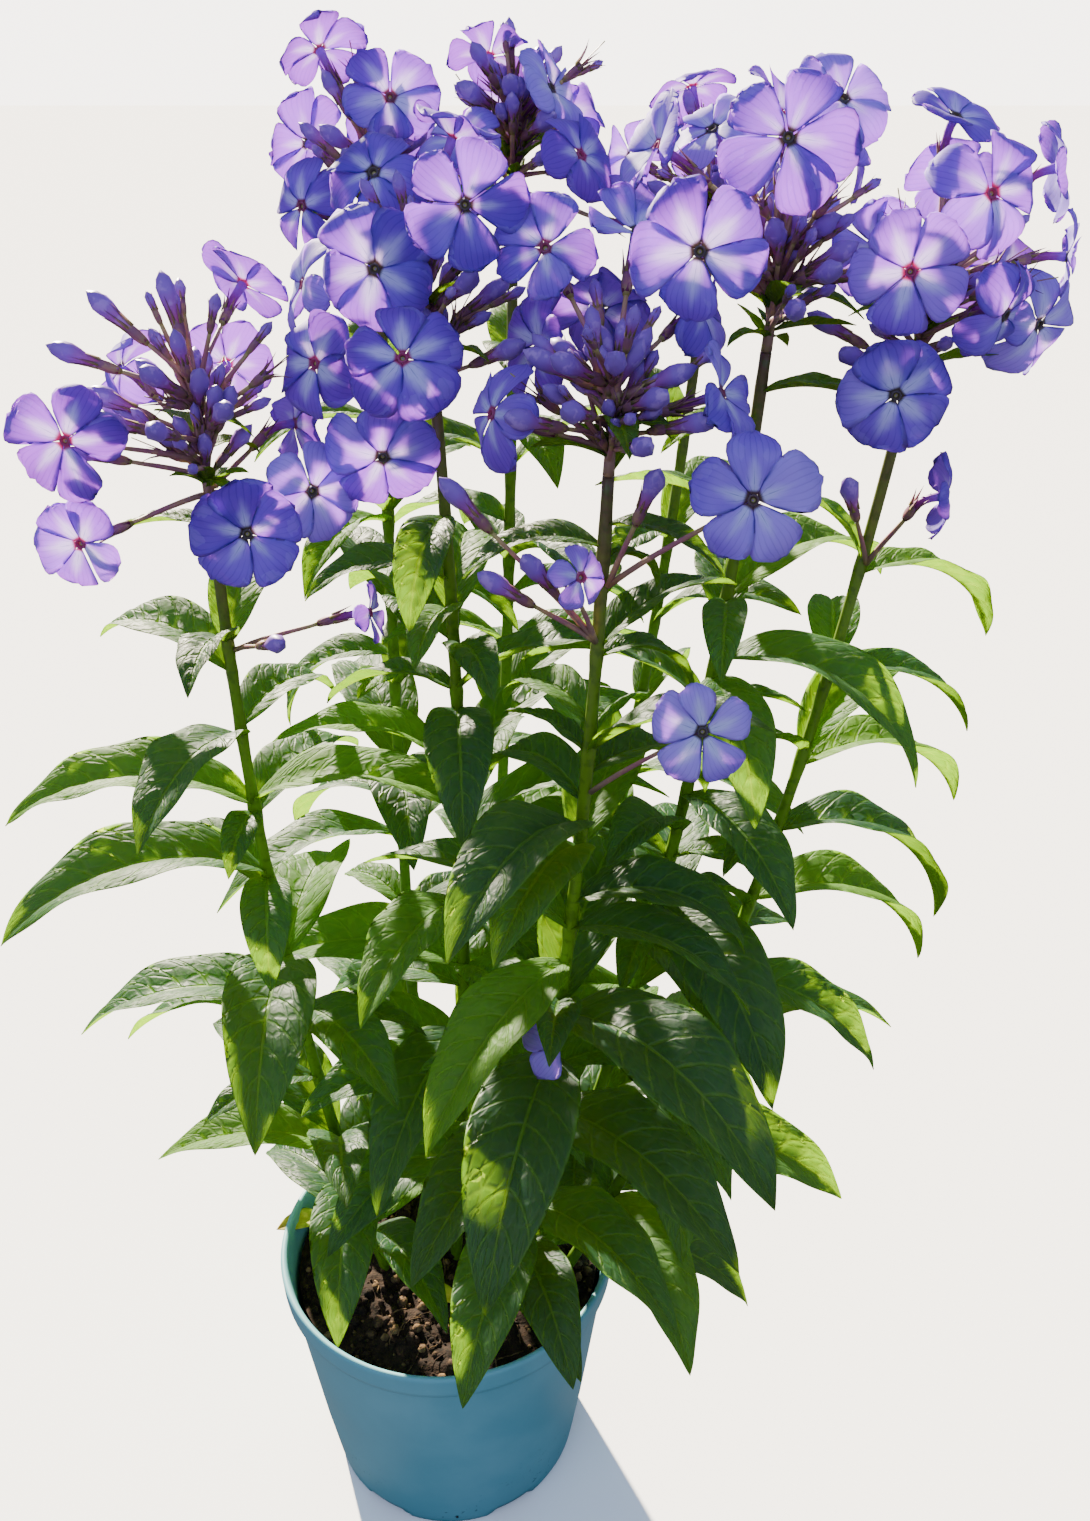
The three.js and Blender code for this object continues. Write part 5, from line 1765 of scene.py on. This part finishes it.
@dataclass(frozen=True)
class Fallen:
    """What has dropped from the plant: withered leaves on the soil, and two petals on a leaf."""

    form: BladeForm = BladeForm(14, 7, 3, 6.0, 0.5, 0.5)
    # Root x, y and z, bearing, lift, lift at the tip, length, roll, and whether it is dry.
    leaves: tuple[tuple[float, ...], ...] = (
        (-56, 40, 129, 20, 74, 20, 25, 30, 1), (-67, 18, 131, -70, 24, -16, 26, -20, 0),
        (-8, -26, 130, 62, 16, -12, 19, 25, 0), (22, 50, 130, 250, 18, -10, 24, 30, 1),
    )
    petal_at: tuple[float, float, float] = (56, -84, 336)
    seed: int = 77

    def build(self, materials: dict[Finish, bpy.types.Material]) -> None:
        """Makes the fallen leaves and the fallen petals.

        Args:
            materials: the materials by finish.
        """
        skin, draw = Skin(), Draws(self.seed)
        for x, y, z, bearing, lift, tip_lift, length, roll, dry in self.leaves:
            leaf = Leaf(np.array([x, y, z], float), bearing, lift, tip_lift, length, roll, 0.5)
            rings, place, tip = self.form.rings(leaf, draw)
            place[..., 1] /= self.form.vein_count
            skin.loft(rings, place, (0, 0, 0), (rings[0].mean(0), tip), int(dry))
        withered = [materials[Finish.FADED_LEAF], materials[Finish.DRY_LEAF]]
        skin.piece("fallen_leaves", withered, "leaf_green", None)
        at, face = np.array(self.petal_at, float), facing(20, 50)
        spray = FlowerSpray("fallen", "", Blooms([], []), self.seed)
        opening = Opening(0.5, 0.3, 0.5, 0.5, 0.1, 0.1, (0.8, 0.3, 0.6))
        for index in (0, 1):
            spray.petal(Flower(at, face, 15, 150, at, at), opening, index, draw)
        spray.petals.piece("fallen_petals", [materials[Finish.PETAL]], "petal_violet", None)


# ---------------------------------------------------------------- the studio


@dataclass(frozen=True)
class Lamp:
    """A light: AREA for a square panel, or SUN for a far lamp."""

    name: str
    kind: str
    at: tuple[float, float, float]  # m
    size: float  # a panel's side in m, or the angle in radians that a far lamp fills
    power: float  # a panel's watts, or a far lamp's watts for each square metre
    colour: str


@dataclass(frozen=True)
class Studio:
    """A pale floor, soft lights and the camera."""

    lamps: tuple[Lamp, ...] = (
        Lamp("key", "SUN", (-0.72, 1.75, 1.3), 0.03, 38, "#fff0d8"),
        Lamp("fill", "AREA", (1.4, -1.9, 1.5), 2.2, 22, "#c4d8ff"),
        Lamp("front", "AREA", (-1.2, -1.8, 1.7), 1.8, 24, "#ccdcff"),
    )
    middle: tuple[float, float, float] = (0.05, 0, 0.4)  # m, where the lights are aimed
    soft: tuple[str, float] = ("#c4d8ff", 0.8)  # the surround's colour and strength as a light
    seen: tuple[str, float] = ("#fff7ee", 5.5)  # and as the camera sees it
    camera_at: tuple[float, float, float] = (0.04997, -0.47679, 0.66978)  # m
    pitch: float = 28.0  # degrees that the camera looks down
    lens: float = 30.77  # mm on a 36 mm sensor
    floor_half: float = 30.0  # m
    floor_colour: str = "#f4f4f2"
    floor_bounce: str = "#4a4c50"  # what it throws back on the plant, so that shade stays deep

    def floor(self) -> None:
        """Makes the floor and its finish."""
        mesh = bpy.data.meshes.new("studio_floor")
        h = self.floor_half
        mesh.from_pydata([(-h, -h, 0), (h, -h, 0), (h, h, 0), (-h, h, 0)], [], [(0, 1, 2, 3)])
        material, add = new_material("pale_floor")
        dim, pale = (add("BsdfDiffuse", {"Color": code}) for code in (self.floor_bounce, self.floor_colour))
        add("OutputMaterial", {"Surface": add("MixShader", [add("LightPath"), dim, pale])})
        mesh.materials.append(material)
        made = bpy.data.objects.new("studio_floor", mesh)
        bpy.context.scene.collection.objects.link(made)

    def hang(self, lamp: Lamp) -> None:
        """Adds a light aimed at the plant's middle.

        Args:
            lamp: the light.
        """
        data = bpy.data.lights.new(lamp.name, lamp.kind)
        setattr(data, "angle" if lamp.kind == "SUN" else "size", lamp.size)
        data.energy, data.color = lamp.power, linear(lamp.colour)[:3]
        made = bpy.data.objects.new(lamp.name, data)
        made.location = lamp.at
        aim = Vector(self.middle) - Vector(lamp.at)
        made.rotation_euler = aim.to_track_quat("-Z", "Y").to_euler()
        bpy.context.scene.collection.objects.link(made)

    def surround(self) -> None:
        """Makes the world: a soft even light, seen as a white backdrop."""
        world = bpy.data.worlds.new("studio")
        world.use_nodes = True
        world.node_tree.nodes.clear()
        add = partial(add_node, world.node_tree)
        soft, seen = (add("Background", look) for look in (self.soft, self.seen))
        add("OutputWorld", {"Surface": add("MixShader", [add("LightPath"), soft, seen])})
        bpy.context.scene.world = world

    def build(self) -> None:
        """Makes the floor, the lights, the world and the camera."""
        self.floor()
        for lamp in self.lamps:
            self.hang(lamp)
        self.surround()
        data = bpy.data.cameras.new("camera")
        data.sensor_width, data.lens = 36.0, self.lens
        camera = bpy.data.objects.new("camera", data)
        tilt = Matrix.Rotation(math.radians(90 - self.pitch), 4, "X")
        camera.matrix_world = Matrix.Translation(self.camera_at) @ tilt
        bpy.context.scene.collection.objects.link(camera)
        bpy.context.scene.camera = camera


def main() -> None:
    """Builds the studio, the pot, the soil, the leafy stems and the flower heads in order."""
    Studio().build()
    materials = {finish: finish.value.make() for finish in Finish}
    NurseryPot().build(materials)
    Soil().build(materials)
    Fallen().build(materials)
    heads = {name: head_blooms(name) for name in HEADS}
    sprays = {name: spray_blooms(name) for name in SPRAYS}
    for name, leaves in all_leaves([*heads.values(), *sprays.values()]).items():
        LeafyStem(name, STEMS[name], leaves).build(materials)
    for i, (name, blooms) in enumerate(heads.items()):
        head = FlowerSpray(f"head_{name}", f"flower_head_{name}", blooms, HEAD_SEED + i, YOUNG_BUDS, BRACTS)
        head.build(materials)
    for i, (name, blooms) in enumerate(sprays.items()):
        FlowerSpray(f"spray_{name}", f"side_spray_{name}", blooms, SPRAY_SEED + i).build(materials)


if __name__ == "__main__":
    logging.basicConfig(level=logging.INFO, format="%(message)s")
    main()
